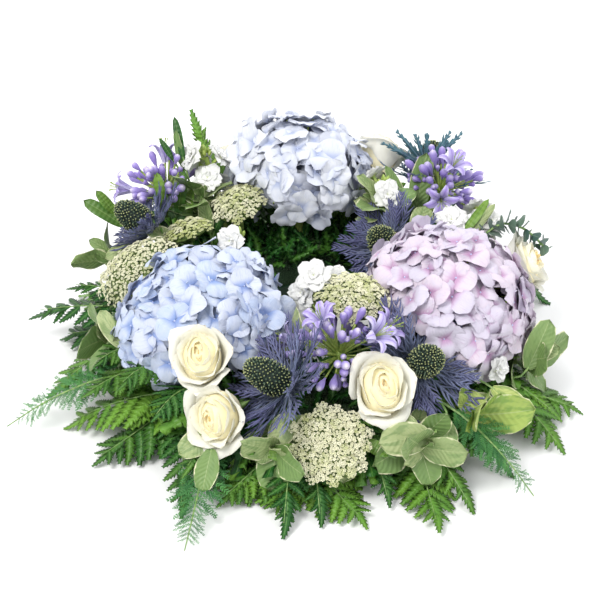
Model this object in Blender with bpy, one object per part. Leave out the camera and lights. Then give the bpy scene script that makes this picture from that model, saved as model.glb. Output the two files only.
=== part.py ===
"""A round flower wreath on a foam ring in a shallow tray: three hydrangea heads, cream roses, blue
thistles, agapanthus, white stock and lacy umbels, with variegated leaves, fern fronds, fine
asparagus fern and a eucalyptus twig. Metres, +Z up. The tray stands on z = 0."""

import math
import random

import bpy
import bmesh
from mathutils import Matrix, Vector
from mathutils.bvhtree import BVHTree

# The ring that carries everything.
RING_SIDES = 20
TRAY_INNER, TRAY_OUTER = 0.0800, 0.1520
TRAY_WALL = 0.002
TRAY_HEIGHT = 0.022
FOAM_GAP = 0.0005
FOAM_TOP = 0.052
FOAM_SHOULDER = 0.011
FOAM_MIDDLE = (TRAY_INNER + TRAY_OUTER) / 2
ROOT_MARGIN = 0.019
ROOT_DEPTH = 0.016
STEM_GAP = 0.0006

# The room that is kept free.
HOLE_RADIUS = 0.038
FLOOR_GAP = 0.003
PIECE_GAP = 0.0007

# Place, spread and half height of each hydrangea head, with the way that it faces.
HYDRANGEAS = {
    "hydrangea_blue": ((-0.102, -0.055, 0.083), 0.072, 0.047, (-0.25, -0.22, 1.0), 32),
    "hydrangea_pale": ((-0.019, 0.136, 0.110), 0.065, 0.054, (-0.05, 0.10, 1.0), 28),
    "hydrangea_pink": ((0.113, -0.040, 0.090), 0.074, 0.054, (0.25, -0.20, 1.0), 34),
}
FLORET_COVER = 1.42
FLORET_RADIUS = 0.0185
FLORET_NOTCH = 0.60
FLORET_LOBE = 0.54
# How far a floret may sink among its neighbours to keep clear, with its size there.
FLORET_SEATS = ((0, 1), (0.004, 1), (0, 0.9), (0.008, 0.9), (0.005, 0.8), (0.011, 0.7), (0.014, 0.55))
HYDRANGEA_STEM = 0.0042

# Place of the middle of each rose, the way that it faces and its radius.
ROSES = {
    "rose_1": ((-0.097, -0.127, 0.092), (-0.12, -0.55, 0.80), 0.0275),
    "rose_2": ((-0.082, -0.166, 0.063), (-0.35, -0.75, 0.45), 0.0280),
    "rose_3": ((0.050, -0.150, 0.079), (0.14, -0.62, 0.75), 0.0290),
    "rose_4": ((0.182, 0.024, 0.080), (0.80, -0.05, 0.60), 0.0265),
    "rose_5": ((0.060, 0.166, 0.108), (0.27, 0.75, 0.65), 0.0265),
    "rose_6": ((-0.082, 0.180, 0.088), (-0.35, 0.80, 0.50), 0.0275),
}
ROSE_HEIGHT = 0.044
ROSE_STEM = 0.0030
# Each whorl of petals: count, radius and height of its base, height, middle and top radius, width.
ROSE_WHORLS = (
    (3, (0.0068, 0.0150), 0.0420, 0.0118, 0.0098, 2.2),
    (4, (0.0090, 0.0110), 0.0400, 0.0174, 0.0178, 1.85),
    (5, (0.0115, 0.0050), 0.0350, 0.0232, 0.0285, 1.55),
)

# Base of each thistle cone, the way that it points, cone length and bract length.
THISTLES = {
    "thistle_1": ((-0.030, -0.148, 0.082), (-0.75, -0.10, 0.62), 0.038, 0.062),
    "thistle_2": ((0.084, -0.118, 0.080), (0.35, -0.62, 0.70), 0.034, 0.060),
    "thistle_3": ((0.064, 0.048, 0.086), (-0.40, -0.50, 0.77), 0.032, 0.048),
    "thistle_4": ((-0.158, 0.078, 0.088), (-0.77, 0.12, 0.60), 0.034, 0.048),
    "thistle_5": ((0.106, 0.160, 0.094), (0.22, 0.35, 0.90), 0.032, 0.056),
}
CONE_RADIUS = 0.0125
THISTLE_STEM = 0.0024

# Hub of each agapanthus head, the way that it faces and the length of its flower stalks.
AGAPANTHUS = {
    "agapanthus_1": ((0.017, -0.112, 0.084), (0.02, -0.42, 0.90), 0.048),
    "agapanthus_2": ((-0.142, 0.124, 0.092), (-0.55, 0.40, 0.75), 0.046),
    "agapanthus_3": ((0.116, 0.122, 0.098), (0.50, 0.10, 0.80), 0.046),
}
AGAPANTHUS_STEM = 0.0034
AGAPANTHUS_FLOWERS = 12

# Middle of each lacy umbel, the way that it faces and its radius.
UMBELS = {
    "umbel_1": ((-0.162, 0.016, 0.078), (-0.45, -0.10, 0.85), 0.044),
    "umbel_2": ((-0.120, 0.064, 0.090), (-0.30, 0.25, 0.90), 0.026),
    "umbel_3": ((-0.073, 0.086, 0.106), (-0.20, -0.10, 0.95), 0.029),
    "umbel_4": ((0.030, -0.070, 0.112), (0.05, -0.10, 1.00), 0.034),
    "umbel_5": ((0.009, -0.189, 0.052), (0.05, -0.72, 0.68), 0.036),
    "umbel_6": ((-0.010, 0.200, 0.056), (-0.05, 0.80, 0.60), 0.030),
}
UMBEL_STEM = 0.0022

# Top of each stock stem, the way that it points and the number of its flowers.
STOCKS = {
    "stock_1": ((-0.070, 0.018, 0.112), (-0.20, 0.10, 1.00), 4),
    "stock_2": ((-0.004, -0.044, 0.114), (-0.05, -0.10, 1.00), 5),
    "stock_3": ((-0.104, 0.132, 0.128), (-0.20, 0.30, 0.90), 6),
    "stock_4": ((0.062, 0.104, 0.112), (0.15, 0.20, 0.95), 5),
    "stock_5": ((0.150, 0.070, 0.098), (0.45, 0.25, 0.80), 6),
}
STOCK_STEM = 0.0026
STOCK_FLOWER = 0.0145

# Tip of each leafy sprig, the way that it points, its leaf count and leaf length.
SPRIGS = {
    "leaves_1": ((-0.108, 0.104, 0.104), (-0.20, 0.25, 0.95), 6, 0.039),
    "leaves_2": ((0.058, 0.090, 0.104), (0.10, 0.05, 1.00), 6, 0.043),
    "leaves_3": ((-0.192, 0.062, 0.060), (-0.85, 0.35, 0.30), 6, 0.037),
    "leaves_4": ((-0.184, -0.046, 0.052), (-0.90, -0.20, 0.25), 6, 0.039),
    "leaves_5": ((-0.036, -0.188, 0.046), (-0.10, -0.95, 0.15), 6, 0.038),
    "leaves_6": ((0.084, -0.182, 0.044), (0.35, -0.90, 0.20), 6, 0.042),
    "leaves_7": ((0.132, -0.146, 0.048), (0.70, -0.62, 0.25), 6, 0.044),
    "leaves_8": ((0.182, -0.070, 0.046), (0.95, -0.25, 0.20), 6, 0.041),
}
SPRIG_STEM = 0.0018

# Each fan of fern fronds: bearing and height of its stalk, then bearing and reach of each tip.
FERNS = {
    "fern_1": (176, 0.034, ((160, 0.236), (176, 0.266), (191, 0.240))),
    "fern_2": (221, 0.034, ((207, 0.238), (220, 0.240), (233, 0.240))),
    "fern_3": (262, 0.034, ((246, 0.246), (258, 0.252), (270, 0.250), (282, 0.244))),
    "fern_4": (302, 0.034, ((292, 0.250), (304, 0.256), (317, 0.246))),
    "fern_5": (336, 0.034, ((326, 0.244), (338, 0.240), (350, 0.236))),
    "fern_6": (46, FOAM_TOP, ((20, 0.228), (38, 0.234), (56, 0.234), (74, 0.228))),
    "fern_7": (122, FOAM_TOP, ((96, 0.226), (112, 0.234), (133, 0.212, 0.146), (147, 0.234))),
}
FERN_TIP_HEIGHT = 0.010
FERN_HALF_WIDTH = 0.033
FERN_PAIRS = 5
FERN_STALK = 0.0017
FERN_CROSSINGS = 14

# Each plume of asparagus fern: bearing and height of its stalk, bearing and reach of its tip.
PLUMES = {
    "asparagus_1": (206, 0.034, 203, 0.292),
    "asparagus_2": (236, FOAM_TOP, 248, 0.286),
    "asparagus_3": (306, FOAM_TOP, 311, 0.268),
}
PLUME_TIP_HEIGHT = 0.008
PLUME_HALF_WIDTH = 0.032
PLUME_PAIRS = 9
PLUME_STALK = 0.0014
# Place of the tip of the arching eucalyptus twig, the way that it points, half thickness, leaves.
EUCALYPTUS = ((0.204, 0.054, 0.084), (0.92, 0.0, 0.2))
EUCALYPTUS_TWIG = 0.0015
EUCALYPTUS_LEAVES = 9

COLOURS = {
    "tray": ((0.03, 0.10, 0.05), 0.45),
    "foam": ((0.05, 0.16, 0.06), 0.95),
    "hydrangea_blue": ((0.50, 0.64, 0.92), 0.65),
    "hydrangea_pale": ((0.72, 0.76, 0.90), 0.65),
    "hydrangea_pink": ((0.86, 0.70, 0.86), 0.65),
    "rose_petals": ((0.95, 0.91, 0.74), 0.55),
    "green_stem": ((0.20, 0.34, 0.10), 0.60),
    "thistle_bract": ((0.11, 0.12, 0.30), 0.55),
    "thistle_cone": ((0.16, 0.22, 0.10), 0.70),
    "agapanthus": ((0.36, 0.32, 0.72), 0.55),
    "stock": ((0.93, 0.93, 0.88), 0.60),
    "umbel": ((0.86, 0.86, 0.66), 0.75),
    "leaf": ((0.52, 0.60, 0.36), 0.50),
    "fern": ((0.05, 0.19, 0.06), 0.50),
    "asparagus": ((0.10, 0.34, 0.12), 0.60),
    "eucalyptus": ((0.14, 0.26, 0.20), 0.60),
}

standing = []
foam_holes = []


# Shapes are (points, triangles), closed, with faces pointing out.


def closed(points, faces):
    """A shape whose triangles are turned outwards."""
    volume = sum(points[a].dot(points[b].cross(points[c])) for a, b, c in faces)
    if volume < 0:
        faces = [(a, c, b) for a, b, c in faces]
    return points, faces


def moved(shape, matrix):
    return [matrix @ p for p in shape[0]], shape[1]


def polar(radius, bearing, height=0.0):
    return Vector((radius * math.cos(bearing), radius * math.sin(bearing), height))


def facing(place, axis, spin=0.0):
    """The frame at a place whose +Z points along axis."""
    turn = Vector(axis).to_track_quat("Z", "Y").to_matrix().to_4x4()
    return Matrix.Translation(place) @ turn @ Matrix.Rotation(spin, 4, "Z")


def bezier(start, middle, end, steps):
    """Points along the curve that leaves start and reaches end towards and from middle."""
    found = []
    for i in range(steps + 1):
        t = i / steps
        found.append(start * (1 - t) ** 2 + middle * 2 * t * (1 - t) + end * t * t)
    return found


def tube(path, radii, sides=5):
    """A rod along a path. A last radius of 0 ends it in a point."""
    points, faces, side = [], [], None
    pointed = radii[-1] == 0
    rings = len(path) - pointed
    for i in range(rings):
        ahead = (path[min(i + 1, len(path) - 1)] - path[max(i - 1, 0)]).normalized()
        side = ahead.orthogonal() if side is None else side
        side = (side - ahead * side.dot(ahead)).normalized()
        up = ahead.cross(side)
        for k in range(sides):
            turn = 2 * math.pi * k / sides
            points.append(path[i] + (side * math.cos(turn) + up * math.sin(turn)) * radii[i])
    for i in range(rings - 1):
        for k in range(sides):
            a, b = i * sides + k, i * sides + (k + 1) % sides
            faces += [(a, b, b + sides), (a, b + sides, a + sides)]
    faces += [(0, k + 1, k) for k in range(1, sides - 1)]
    last = (rings - 1) * sides
    if pointed:
        points.append(path[-1])
        faces += [(last + k, last + (k + 1) % sides, len(points) - 1) for k in range(sides)]
    else:
        faces += [(last, last + k, last + k + 1) for k in range(1, sides - 1)]
    return closed(points, faces)


def turned(profile, sides):
    """A lathe shape about +Z. A profile of (radius, height) that ends on the axis at both ends."""
    points = [Vector((0, 0, profile[0][1]))]
    for radius, height in profile[1:-1]:
        points += [polar(radius, 2 * math.pi * k / sides, height) for k in range(sides)]
    points.append(Vector((0, 0, profile[-1][1])))
    rings, top, faces = len(profile) - 2, len(points) - 1, []
    for k in range(sides):
        after = (k + 1) % sides
        faces.append((0, 1 + after, 1 + k))
        for i in range(rings - 1):
            a, b = 1 + i * sides + k, 1 + i * sides + after
            faces += [(a, b, b + sides), (a, b + sides, a + sides)]
        faces.append((1 + (rings - 1) * sides + k, 1 + (rings - 1) * sides + after, top))
    return closed(points, faces)


def floret(lobes, reach, notch, half_lobe, cup, root):
    """A flower of flat lobes round +Z on a narrow foot. A half lobe of 0 makes the lobes pointed."""
    points, rims, step = [Vector((0, 0, 0)), Vector(root)], [], 2 * math.pi / lobes
    for lobe in range(lobes):
        spots = [polar(reach * notch, step * (lobe - 0.5), -0.0012)]
        for turn in (-half_lobe, half_lobe) if half_lobe else (0,):
            spots.append(polar(reach, step * lobe + turn, cup))
        rims.append(list(range(len(points), len(points) + len(spots))))
        points += spots
    faces = []
    for lobe, rim in enumerate(rims):
        rim = [*rim, rims[(lobe + 1) % lobes][0]]
        faces += [(0, rim[i], rim[i + 1]) for i in range(len(rim) - 1)]
        faces += [(rim[0], rim[i + 1], rim[i]) for i in range(1, len(rim) - 1)]
        faces.append((1, rim[-1], rim[0]))
    return closed(points, faces)


def blade(rib, left, right):
    """A blade with a ridge along its rib and a flat underside. The last rib point is its tip."""
    rows, points, faces = len(left), [], []
    for i in range(rows):
        points += [rib[i], left[i], right[i]]
    for m in range(0, 3 * rows - 3, 3):
        lf, rt, m2, lf2, rt2 = range(m + 1, m + 6)
        faces += [(m, lf2, lf), (m, m2, lf2), (m, rt, rt2), (m, rt2, m2), (lf, lf2, rt2), (lf, rt2, rt)]
    m, lf, rt, tip = range(3 * rows - 3, 3 * rows + 1)
    points.append(rib[rows])
    faces += [(m, tip, lf), (m, rt, tip), (lf, tip, rt), (0, 1, 2)]
    return closed(points, faces)


def cut_blade(path, half_width, pairs, across, thickness, sweep, sag=0.2, bare=0.1, gap=0.0):
    """A blade along a path, bare at first, then cut to the rib between pairs of swept leaflets."""
    pitch, stations = (1 - bare) / (pairs - 0.1), [(0.0, True)]
    for k in range(pairs):
        start = bare + pitch * k
        if k and gap:
            stations.append((start, True))
        stations.append((start + pitch * (1 - gap) * 0.45, False))
        if k < pairs - 1:
            stations.append((start + pitch * (1 - gap), True))
    rib = [along_path(path, t) for t, _ in stations] + [path[-1]]
    left, right, ridge = [], [], []
    for i, (t, cut) in enumerate(stations):
        ahead = (rib[i + 1] - rib[i]).normalized()
        side = (across - ahead * across.dot(ahead)).normalized()
        up = side.cross(ahead)
        up = -up if up.z < 0 else up
        share = max(t - bare, 0) / (1 - bare)
        spread = thickness if cut else half_width * (1 - share) ** 0.75 * min(1.0, 0.55 + 2.5 * share)
        shift = ahead * (0 if cut else spread * sweep)
        sink = up * spread * sag
        left.append(rib[i] + side * spread + shift - sink)
        right.append(rib[i] - side * spread + shift - sink)
        ridge.append(rib[i] + up * thickness)
    return blade([*ridge, rib[-1]], left, right)


def along_path(path, share):
    """The point that far along a path, by share of its pieces."""
    place = max(0.0, min(share, 1.0)) * (len(path) - 1)
    i = min(int(place), len(path) - 2)
    return path[i].lerp(path[i + 1], place - i)


def broad_leaf(length, half_width, arch, wave, thickness=0.0013):
    """A blunt oval leaf along +X with a waved edge, arched over its length."""
    rib, left, right = [], [], []
    for i, (t, share) in enumerate(((0.0, 0.05), (0.46, 1.0), (0.80, 0.78))):
        drop = -arch * t * t * length
        ripple = wave * (0, 1, -1)[i]
        rib.append(Vector((length * t, 0, drop + thickness)))
        left.append(Vector((length * t, half_width * share, drop + ripple)))
        right.append(Vector((length * t, -half_width * share, drop - ripple)))
    rib.append(Vector((length, 0, -arch * length)))
    return blade(rib, left, right)


def petal(base, grid, thickness):
    """A petal from a base point and a grid of points: thick inside, sharp along its edge."""
    rows, columns = len(grid), len(grid[0])
    points = [p.copy() for row in grid for p in row] + [base]
    behind = {}
    for r in range(rows - 1):
        for c in range(1, columns - 1):
            before = grid[r - 1][c] if r else base
            across = grid[r][c + 1] - grid[r][c - 1]
            normal = across.cross(grid[r + 1][c] - before).normalized()
            behind[r * columns + c] = len(points)
            points.append(grid[r][c] - normal * thickness / 2)
            points[r * columns + c] += normal * thickness / 2
    sheet = [(rows * columns, c + 1, c) for c in range(columns - 1)]
    for a in (r * columns + c for r in range(rows - 1) for c in range(columns - 1)):
        sheet += [(a, a + 1, a + columns + 1), (a, a + columns + 1, a + columns)]
    return closed(points, sheet + [tuple(behind.get(i, i) for i in reversed(f)) for f in sheet])


def knobbed_dome(radius, height, rings, knob, round_power, root):
    """A dome whose surface stands up in a knob at every third point, closed to a root point below."""
    index, points = {}, []
    for q in range(-rings, rings + 1):
        for r in range(-rings, rings + 1):
            away = max(abs(q), abs(r), abs(q + r))
            if away > rings:
                continue
            share = away / rings
            bearing = math.atan2(r * math.sqrt(3) / 2, q + r / 2)
            raised = knob if (q - r) % 3 == 0 else 0.0
            out = (radius + raised) * share
            up = (height + raised) * (1 - share**round_power)
            index[q, r] = len(points)
            points.append(polar(out, bearing, up))
    faces = []
    for (q, r), a in index.items():
        for other, third in (((q + 1, r), (q, r + 1)), ((q - 1, r), (q, r - 1))):
            if other in index and third in index:
                faces.append((a, index[other], index[third]))
    rim = [k for k in index if max(abs(k[0]), abs(k[1]), abs(k[0] + k[1])) == rings]
    rim.sort(key=lambda k: math.atan2(k[1] * math.sqrt(3) / 2, k[0] + k[1] / 2))
    points.append(Vector((0, 0, -root)))
    for i, key in enumerate(rim):
        after = rim[(i + 1) % len(rim)]
        faces.append((index[after], index[key], len(points) - 1))
    return closed(points, faces)


def knobbed_cone(radius, length, sides, rows):
    """A blunt cone on z = 0 whose staggered rows stand up in knobs at every second point."""
    points, faces = [Vector((0, 0, 0))], []
    for row in range(rows):
        t = (row + 0.35) / rows
        for k in range(sides):
            raised = 0.0014 if (k + row // 2) % 2 else -0.0004
            swell = radius * (1 - t**2.4) ** 0.5 * min(1.0, 0.86 + 0.4 * t)
            turn = 2 * math.pi * (k + 0.5 * (row % 2)) / sides
            points.append(polar(swell + raised, turn, length * (t - 0.35 / rows)))
    points.append(Vector((0, 0, length)))
    for k in range(sides):
        after = (k + 1) % sides
        faces.append((0, 1 + after, 1 + k))
        for row in range(rows - 1):
            a, b = 1 + row * sides + k, 1 + row * sides + after
            c, d = a + sides, b + sides
            faces += [(a, b, c), (b, d, c)] if row % 2 == 0 else [(a, d, c), (a, b, d)]
        faces.append((len(points) - 1 - sides + k, len(points) - 1 - sides + after, len(points) - 1))
    return closed(points, faces)


# Keeping the pieces clear of each other.


def inside(point, tree):
    """Whether a point lies in a closed tree, by the number of faces on one side of it."""
    hits, place, way = 0, point.copy(), Vector((0.013, 0.017, 1.0)).normalized()
    while hits < 40:
        found = tree.ray_cast(place, way)[0]
        if found is None:
            break
        hits += 1
        place = found + way * 1e-6
    return hits % 2 == 1


def bounds(points, more=0.0):
    low = Vector([min(p[i] for p in points) - more for i in range(3)])
    high = Vector([max(p[i] for p in points) + more for i in range(3)])
    return low, high


def stand(shape):
    """Adds a finished shape to what later pieces keep clear of."""
    standing.append((*bounds(shape[0]), BVHTree.FromPolygons(*shape)))


def clear_of(shape, others):
    """Whether a shape keeps the gap to each of the others."""
    points = shape[0]
    low, high = bounds(points, PIECE_GAP)
    own = BVHTree.FromPolygons(*shape)
    for other_low, other_high, tree in others:
        if any(low[i] > other_high[i] or high[i] < other_low[i] for i in range(3)):
            continue
        if own.overlap(tree) or inside(points[0], tree) or inside(points[-1], tree):
            return False
        if any(tree.find_nearest(p, PIECE_GAP)[0] is not None for p in points):
            return False
    return True


def free(shape, skip_ring=False):
    """Whether a shape is clear of the floor, the wreath's hole and all that stands already."""
    points = shape[0]
    if min(p.z for p in points) < FLOOR_GAP:
        return False
    if min(math.hypot(p.x, p.y) for p in points) < HOLE_RADIUS:
        return False
    return clear_of(shape, standing[2:] if skip_ring else standing)


def best_free(make, options, siblings, allowed=0):
    """The clear shape among the options that crosses its siblings least, or None. It joins them."""
    best, fewest = None, 0
    for option in options:
        shape = make(*option)
        if not free(shape):
            continue
        tree = BVHTree.FromPolygons(*shape)
        crossings = sum(len(tree.overlap(sibling)) for sibling in siblings)
        if best is None or crossings < fewest:
            best, fewest, best_tree = shape, crossings, tree
        if fewest <= allowed:
            break
    if best:
        siblings.append(best_tree)
    return best


# Objects and their materials.


def material(name):
    found = bpy.data.materials.get(name)
    if found is None:
        colour, roughness = COLOURS[name]
        found = bpy.data.materials.new(name)
        found.use_nodes = True
        surface = found.node_tree.nodes["Principled BSDF"]
        surface.inputs["Base Color"].default_value = (*colour, 1)
        surface.inputs["Roughness"].default_value = roughness
        surface.inputs["Metallic"].default_value = 0.0
        found.diffuse_color = (*colour, 1)
    return found


def mesh_object(name, shape, collection):
    mesh = bpy.data.meshes.new(name)
    mesh.from_pydata([tuple(p) for p in shape[0]], [], shape[1])
    mesh.update()
    made = bpy.data.objects.new(name, mesh)
    collection.objects.link(made)
    return made


def with_boolean(made, others, operation):
    """Applies one Boolean of made with a collection of shapes. MANIFOLD, because a node has dozens."""
    group = bpy.data.collections.new(made.name + "_repeats")
    bpy.context.scene.collection.children.link(group)
    for i, shape in enumerate(others):
        mesh_object(f"{made.name}_{i}", shape, group)
    change = made.modifiers.new("join", "BOOLEAN")
    change.operation = operation
    change.operand_type = "COLLECTION"
    change.collection = group
    change.solver = "MANIFOLD"
    graph = bpy.context.evaluated_depsgraph_get()
    result = bpy.data.meshes.new_from_object(made.evaluated_get(graph), depsgraph=graph)
    made.modifiers.clear()
    made.data = result
    for helper in list(group.objects):
        bpy.data.objects.remove(helper)
    bpy.data.collections.remove(group)


def bodies_of(work):
    """The vertices of each separate body, the one with the most volume last."""
    seen, bodies = set(), []
    for start in work.verts:
        if start in seen:
            continue
        body, queue = [], [start]
        seen.add(start)
        while queue:
            vertex = queue.pop()
            body.append(vertex)
            for edge in vertex.link_edges:
                other = edge.other_vert(vertex)
                if other not in seen:
                    seen.add(other)
                    queue.append(other)
        faces = {f for v in body for f in v.link_faces}
        volume = sum(f.verts[0].co.dot(f.verts[1].co.cross(f.verts[2].co)) for f in faces)
        bodies.append((volume, len(bodies), body))
    return [body for _, _, body in sorted(bodies)]


def keep_main_body(made):
    """Drops loose scraps and fills sealed hollows: only the body with the most volume stays."""
    work = bmesh.new()
    work.from_mesh(made.data)
    bmesh.ops.triangulate(work, faces=work.faces)
    for body in bodies_of(work)[:-1]:
        bmesh.ops.delete(work, geom=body, context="VERTS")
    work.to_mesh(made.data)
    work.free()


def shape_of(made):
    return [v.co.copy() for v in made.data.vertices], [tuple(f.vertices) for f in made.data.polygons]


def piece(name, shapes, colour):
    """One node: its shapes joined in one body, which later pieces keep clear of."""
    shapes = [s for s in shapes if s]
    made = mesh_object(name, shapes[0], bpy.context.scene.collection)
    if len(shapes) > 1:
        with_boolean(made, shapes[1:], "UNION")
    keep_main_body(made)
    made.data.materials.clear()
    made.data.materials.append(material(colour))
    stand(shape_of(made))
    return made


# Stems and the ring.


def stem_path(base, end, axis, radius, inward, turn, lift):
    """From a root in the foam, straight out of the foam, then in a curve to the base of a bloom."""
    bearing, reach = math.atan2(base.y, base.x), math.hypot(base.x, base.y)
    out = FOAM_MIDDLE + (reach - FOAM_MIDDLE) * 0.45 + inward
    out = max(TRAY_INNER + ROOT_MARGIN, min(out, TRAY_OUTER - ROOT_MARGIN))
    root = polar(out, bearing + turn, FOAM_TOP - ROOT_DEPTH)
    way = (base - root).normalized()
    if base.z > 0.058:
        way = (way + Vector((0, 0, lift))).normalized()
    to_top = (FOAM_TOP + 0.002 + radius - root.z) / max(way.z, 0.05)
    to_side = (TRAY_OUTER + 0.002 + radius - out) / max(way.xy.dot(root.xy.normalized()), 0.05)
    leave = root + way * min(to_top, to_side)
    span = (end - leave).length
    middle = (leave + way * span * 0.4).lerp(end - axis * span * 0.4, 0.5)
    return [root, *bezier(leave, middle, end, 2)]


def stem(base, axis, radius, bury=0.004, sides=4):
    """A stem from inside the foam to a bloom's base. It marks the plain hole that it stands in."""
    axis = Vector(axis).normalized()
    turns = [0] + [way * step / 100 for step in (5, 10, 16, 23, 31, 40) for way in (1, -1)]
    inwards = (0, -0.009, 0.009, -0.018, 0.018)
    options = [(inward, t, lift) for lift in (0.8, 0.3, 1.6) for inward in inwards for t in turns]
    for option in [*options, options[0]]:
        path = stem_path(base, base + axis * bury, axis, radius, *option)
        whole = tube(path, [radius] * 4, sides)
        if clear_of(whole, standing[2:]) and free(tube(path[1:], [radius] * 3, sides)):
            break
    drill(path, radius, sides)
    return whole


def drill(path, radius, sides):
    """Marks the plain hole in the foam for the first length of a stem."""
    way = (path[1] - path[0]).normalized()
    wider = radius / math.cos(math.pi / sides) + STEM_GAP
    foam_holes.append(tube([path[0] - way * STEM_GAP, path[1] + way * 0.003], [wider] * 2, sides))


def ring_shape(profile):
    """A closed ring of (radius, height) points about +Z."""
    count, points, faces = len(profile), [], []
    for k in range(RING_SIDES):
        points += [polar(radius, 2 * math.pi * k / RING_SIDES, height) for radius, height in profile]
    for k in range(RING_SIDES):
        for i in range(count):
            a, b = k * count + i, k * count + (i + 1) % count
            c, d = (a + count) % len(points), (b + count) % len(points)
            faces += [(a, b, d), (a, d, c)]
    return closed(points, faces)


def tray_shape():
    inner, outer = TRAY_INNER + TRAY_WALL, TRAY_OUTER - TRAY_WALL
    return ring_shape(
        (
            (TRAY_INNER, 0),
            (TRAY_OUTER, 0),
            (TRAY_OUTER, TRAY_HEIGHT),
            (outer, TRAY_HEIGHT),
            (outer, TRAY_WALL),
            (inner, TRAY_WALL),
            (inner, TRAY_HEIGHT),
            (TRAY_INNER, TRAY_HEIGHT),
        )
    )


def foam_shape():
    inner, outer = TRAY_INNER + TRAY_WALL + FOAM_GAP, TRAY_OUTER - TRAY_WALL - FOAM_GAP
    bottom = TRAY_WALL + FOAM_GAP
    return ring_shape(
        (
            (inner, bottom),
            (outer, bottom),
            (outer, FOAM_TOP - FOAM_SHOULDER),
            (outer - FOAM_SHOULDER, FOAM_TOP),
            (inner + FOAM_SHOULDER, FOAM_TOP),
            (inner, FOAM_TOP - FOAM_SHOULDER),
        )
    )


# Blooms.


def rose_petal(base, height, middle, top, width, bearing):
    """A cupped petal round +Z whose one side lies further out than the other, past its neighbour."""
    grid = []
    for share, radius in ((0.50, middle), (1.0, top)):
        row = []
        for c in (-1, 0, 1):
            fall = 0.10 * abs(c) * share
            row.append(polar(radius + 0.0020 * c, bearing + c * width / 2, height * share * (1 - fall)))
        grid.append(row)
    return petal(polar(base[0], bearing, base[1]), grid, 0.0018)


def rose(name, place, axis, radius):
    """Petals in three overlapping whorls on a closed heart. The green calyx and stem are a node."""
    scale, axis = radius / 0.0275, Vector(axis).normalized()
    base = Vector(place) - axis * ROSE_HEIGHT * 0.5 * scale
    frame = facing(base, axis, base.x * 40) @ Matrix.Scale(scale, 4)
    heart = turned(((0, 0), (0.0105, 0.001), (0.0145, 0.009), (0.0085, 0.022), (0, 0.024)), 6)
    bud = turned(((0, 0.014), (0.0060, 0.020), (0.0070, 0.034), (0.0035, 0.0425), (0, 0.0435)), 5)
    petals = [moved(heart, frame), moved(bud, frame)]
    for whorl, (count, base, *form) in enumerate(ROSE_WHORLS):
        for k in range(count):
            bearing = 2 * math.pi * (k + 0.37 * whorl) / count
            petals.append(moved(rose_petal(base, *form, bearing), frame))
    piece(name, petals, "rose_petals")
    calyx = floret(5, 0.017, 0.42, 0, -0.0035, (0, 0, -0.013))
    below = frame @ Matrix.Translation((0, 0, -0.0003))
    stalk = stem(frame @ Vector((0, 0, -0.011)), axis, ROSE_STEM)
    piece(name + "_stem", [moved(calyx, below), stalk], "green_stem")


def umbel(name, place, axis, radius):
    """A lacy dome in small knobs over a cone of stalks, on one stem."""
    frame, rings = facing(Vector(place), axis), 5 if radius > 0.03 else 4
    dome = knobbed_dome(radius - 0.0035, radius * 0.36, rings, 0.0042, 2, radius * 0.42)
    base = Vector(place) - Vector(axis).normalized() * radius * 0.34
    piece(name, [moved(dome, frame), stem(base, axis, UMBEL_STEM)], "umbel")


def thistle_cone(name, place, axis, length, bract):
    lifted = facing(Vector(place), axis) @ Matrix.Translation((0, 0, 0.0004))
    piece(name + "_cone", [moved(knobbed_cone(CONE_RADIUS, length, 8, 5), lifted)], "thistle_cone")


def thistle_collar(name, place, axis, length, bract):
    """The stem, a flat boss under the cone and two whorls of spiny bracts."""
    axis = Vector(axis).normalized()
    frame = facing(Vector(place), axis)
    boss = turned(((0, -0.009), (0.0085, -0.005), (0.0105, 0), (0, 0)), 6)
    shapes = [moved(boss, frame), stem(Vector(place) - axis * 0.009, axis, THISTLE_STEM)]
    siblings = []
    for whorl, (count, share, rise) in enumerate(((7, 1.0, 0.05), (5, 0.80, 0.34))):
        for k in range(count):
            bearing = 2 * math.pi * (k + 0.5 * whorl) / count

            def make(lift, shorter, turn, bearing=bearing, reach=bract * share, rise=rise, whorl=whorl):
                way, tilt, reach = bearing + turn, rise + lift, reach * shorter
                start = polar(0.0070, way, -0.0054 + 0.0018 * whorl)
                middle = start + polar(math.cos(tilt), way, math.sin(tilt)) * reach * 0.55
                end = middle + polar(math.cos(tilt + 0.4), way, math.sin(tilt + 0.4)) * reach * 0.45
                path = [frame @ p for p in (start, middle, end)]
                across = frame.to_3x3() @ polar(1, way + math.pi / 2)
                return cut_blade(path, 0.0105, 2, across, 0.0011, 1.3, sag=0.1)

            lifts, turns = (0, 0.2, -0.2, 0.4), (0, 0.25, -0.25)
            options = [(lift, s, turn) for s in (1, 0.8) for lift in lifts for turn in turns]
            options += [(lift, s, 0) for s in (0.6, 0.45) for lift in (0, 0.4, 0.8)]
            shapes.append(best_free(make, options, siblings))
    piece(name, shapes, "thistle_bract")


def hydrangea_core(place, spread, half_height, axis, count):
    profile = [(0, -0.52), (0.40, -0.36), (0.58, -0.06), (0.50, 0.32), (0.24, 0.55), (0, 0.60)]
    core = turned([(r * spread, z * half_height) for r, z in profile], 9)
    return moved(core, facing(Vector(place), axis))


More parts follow.
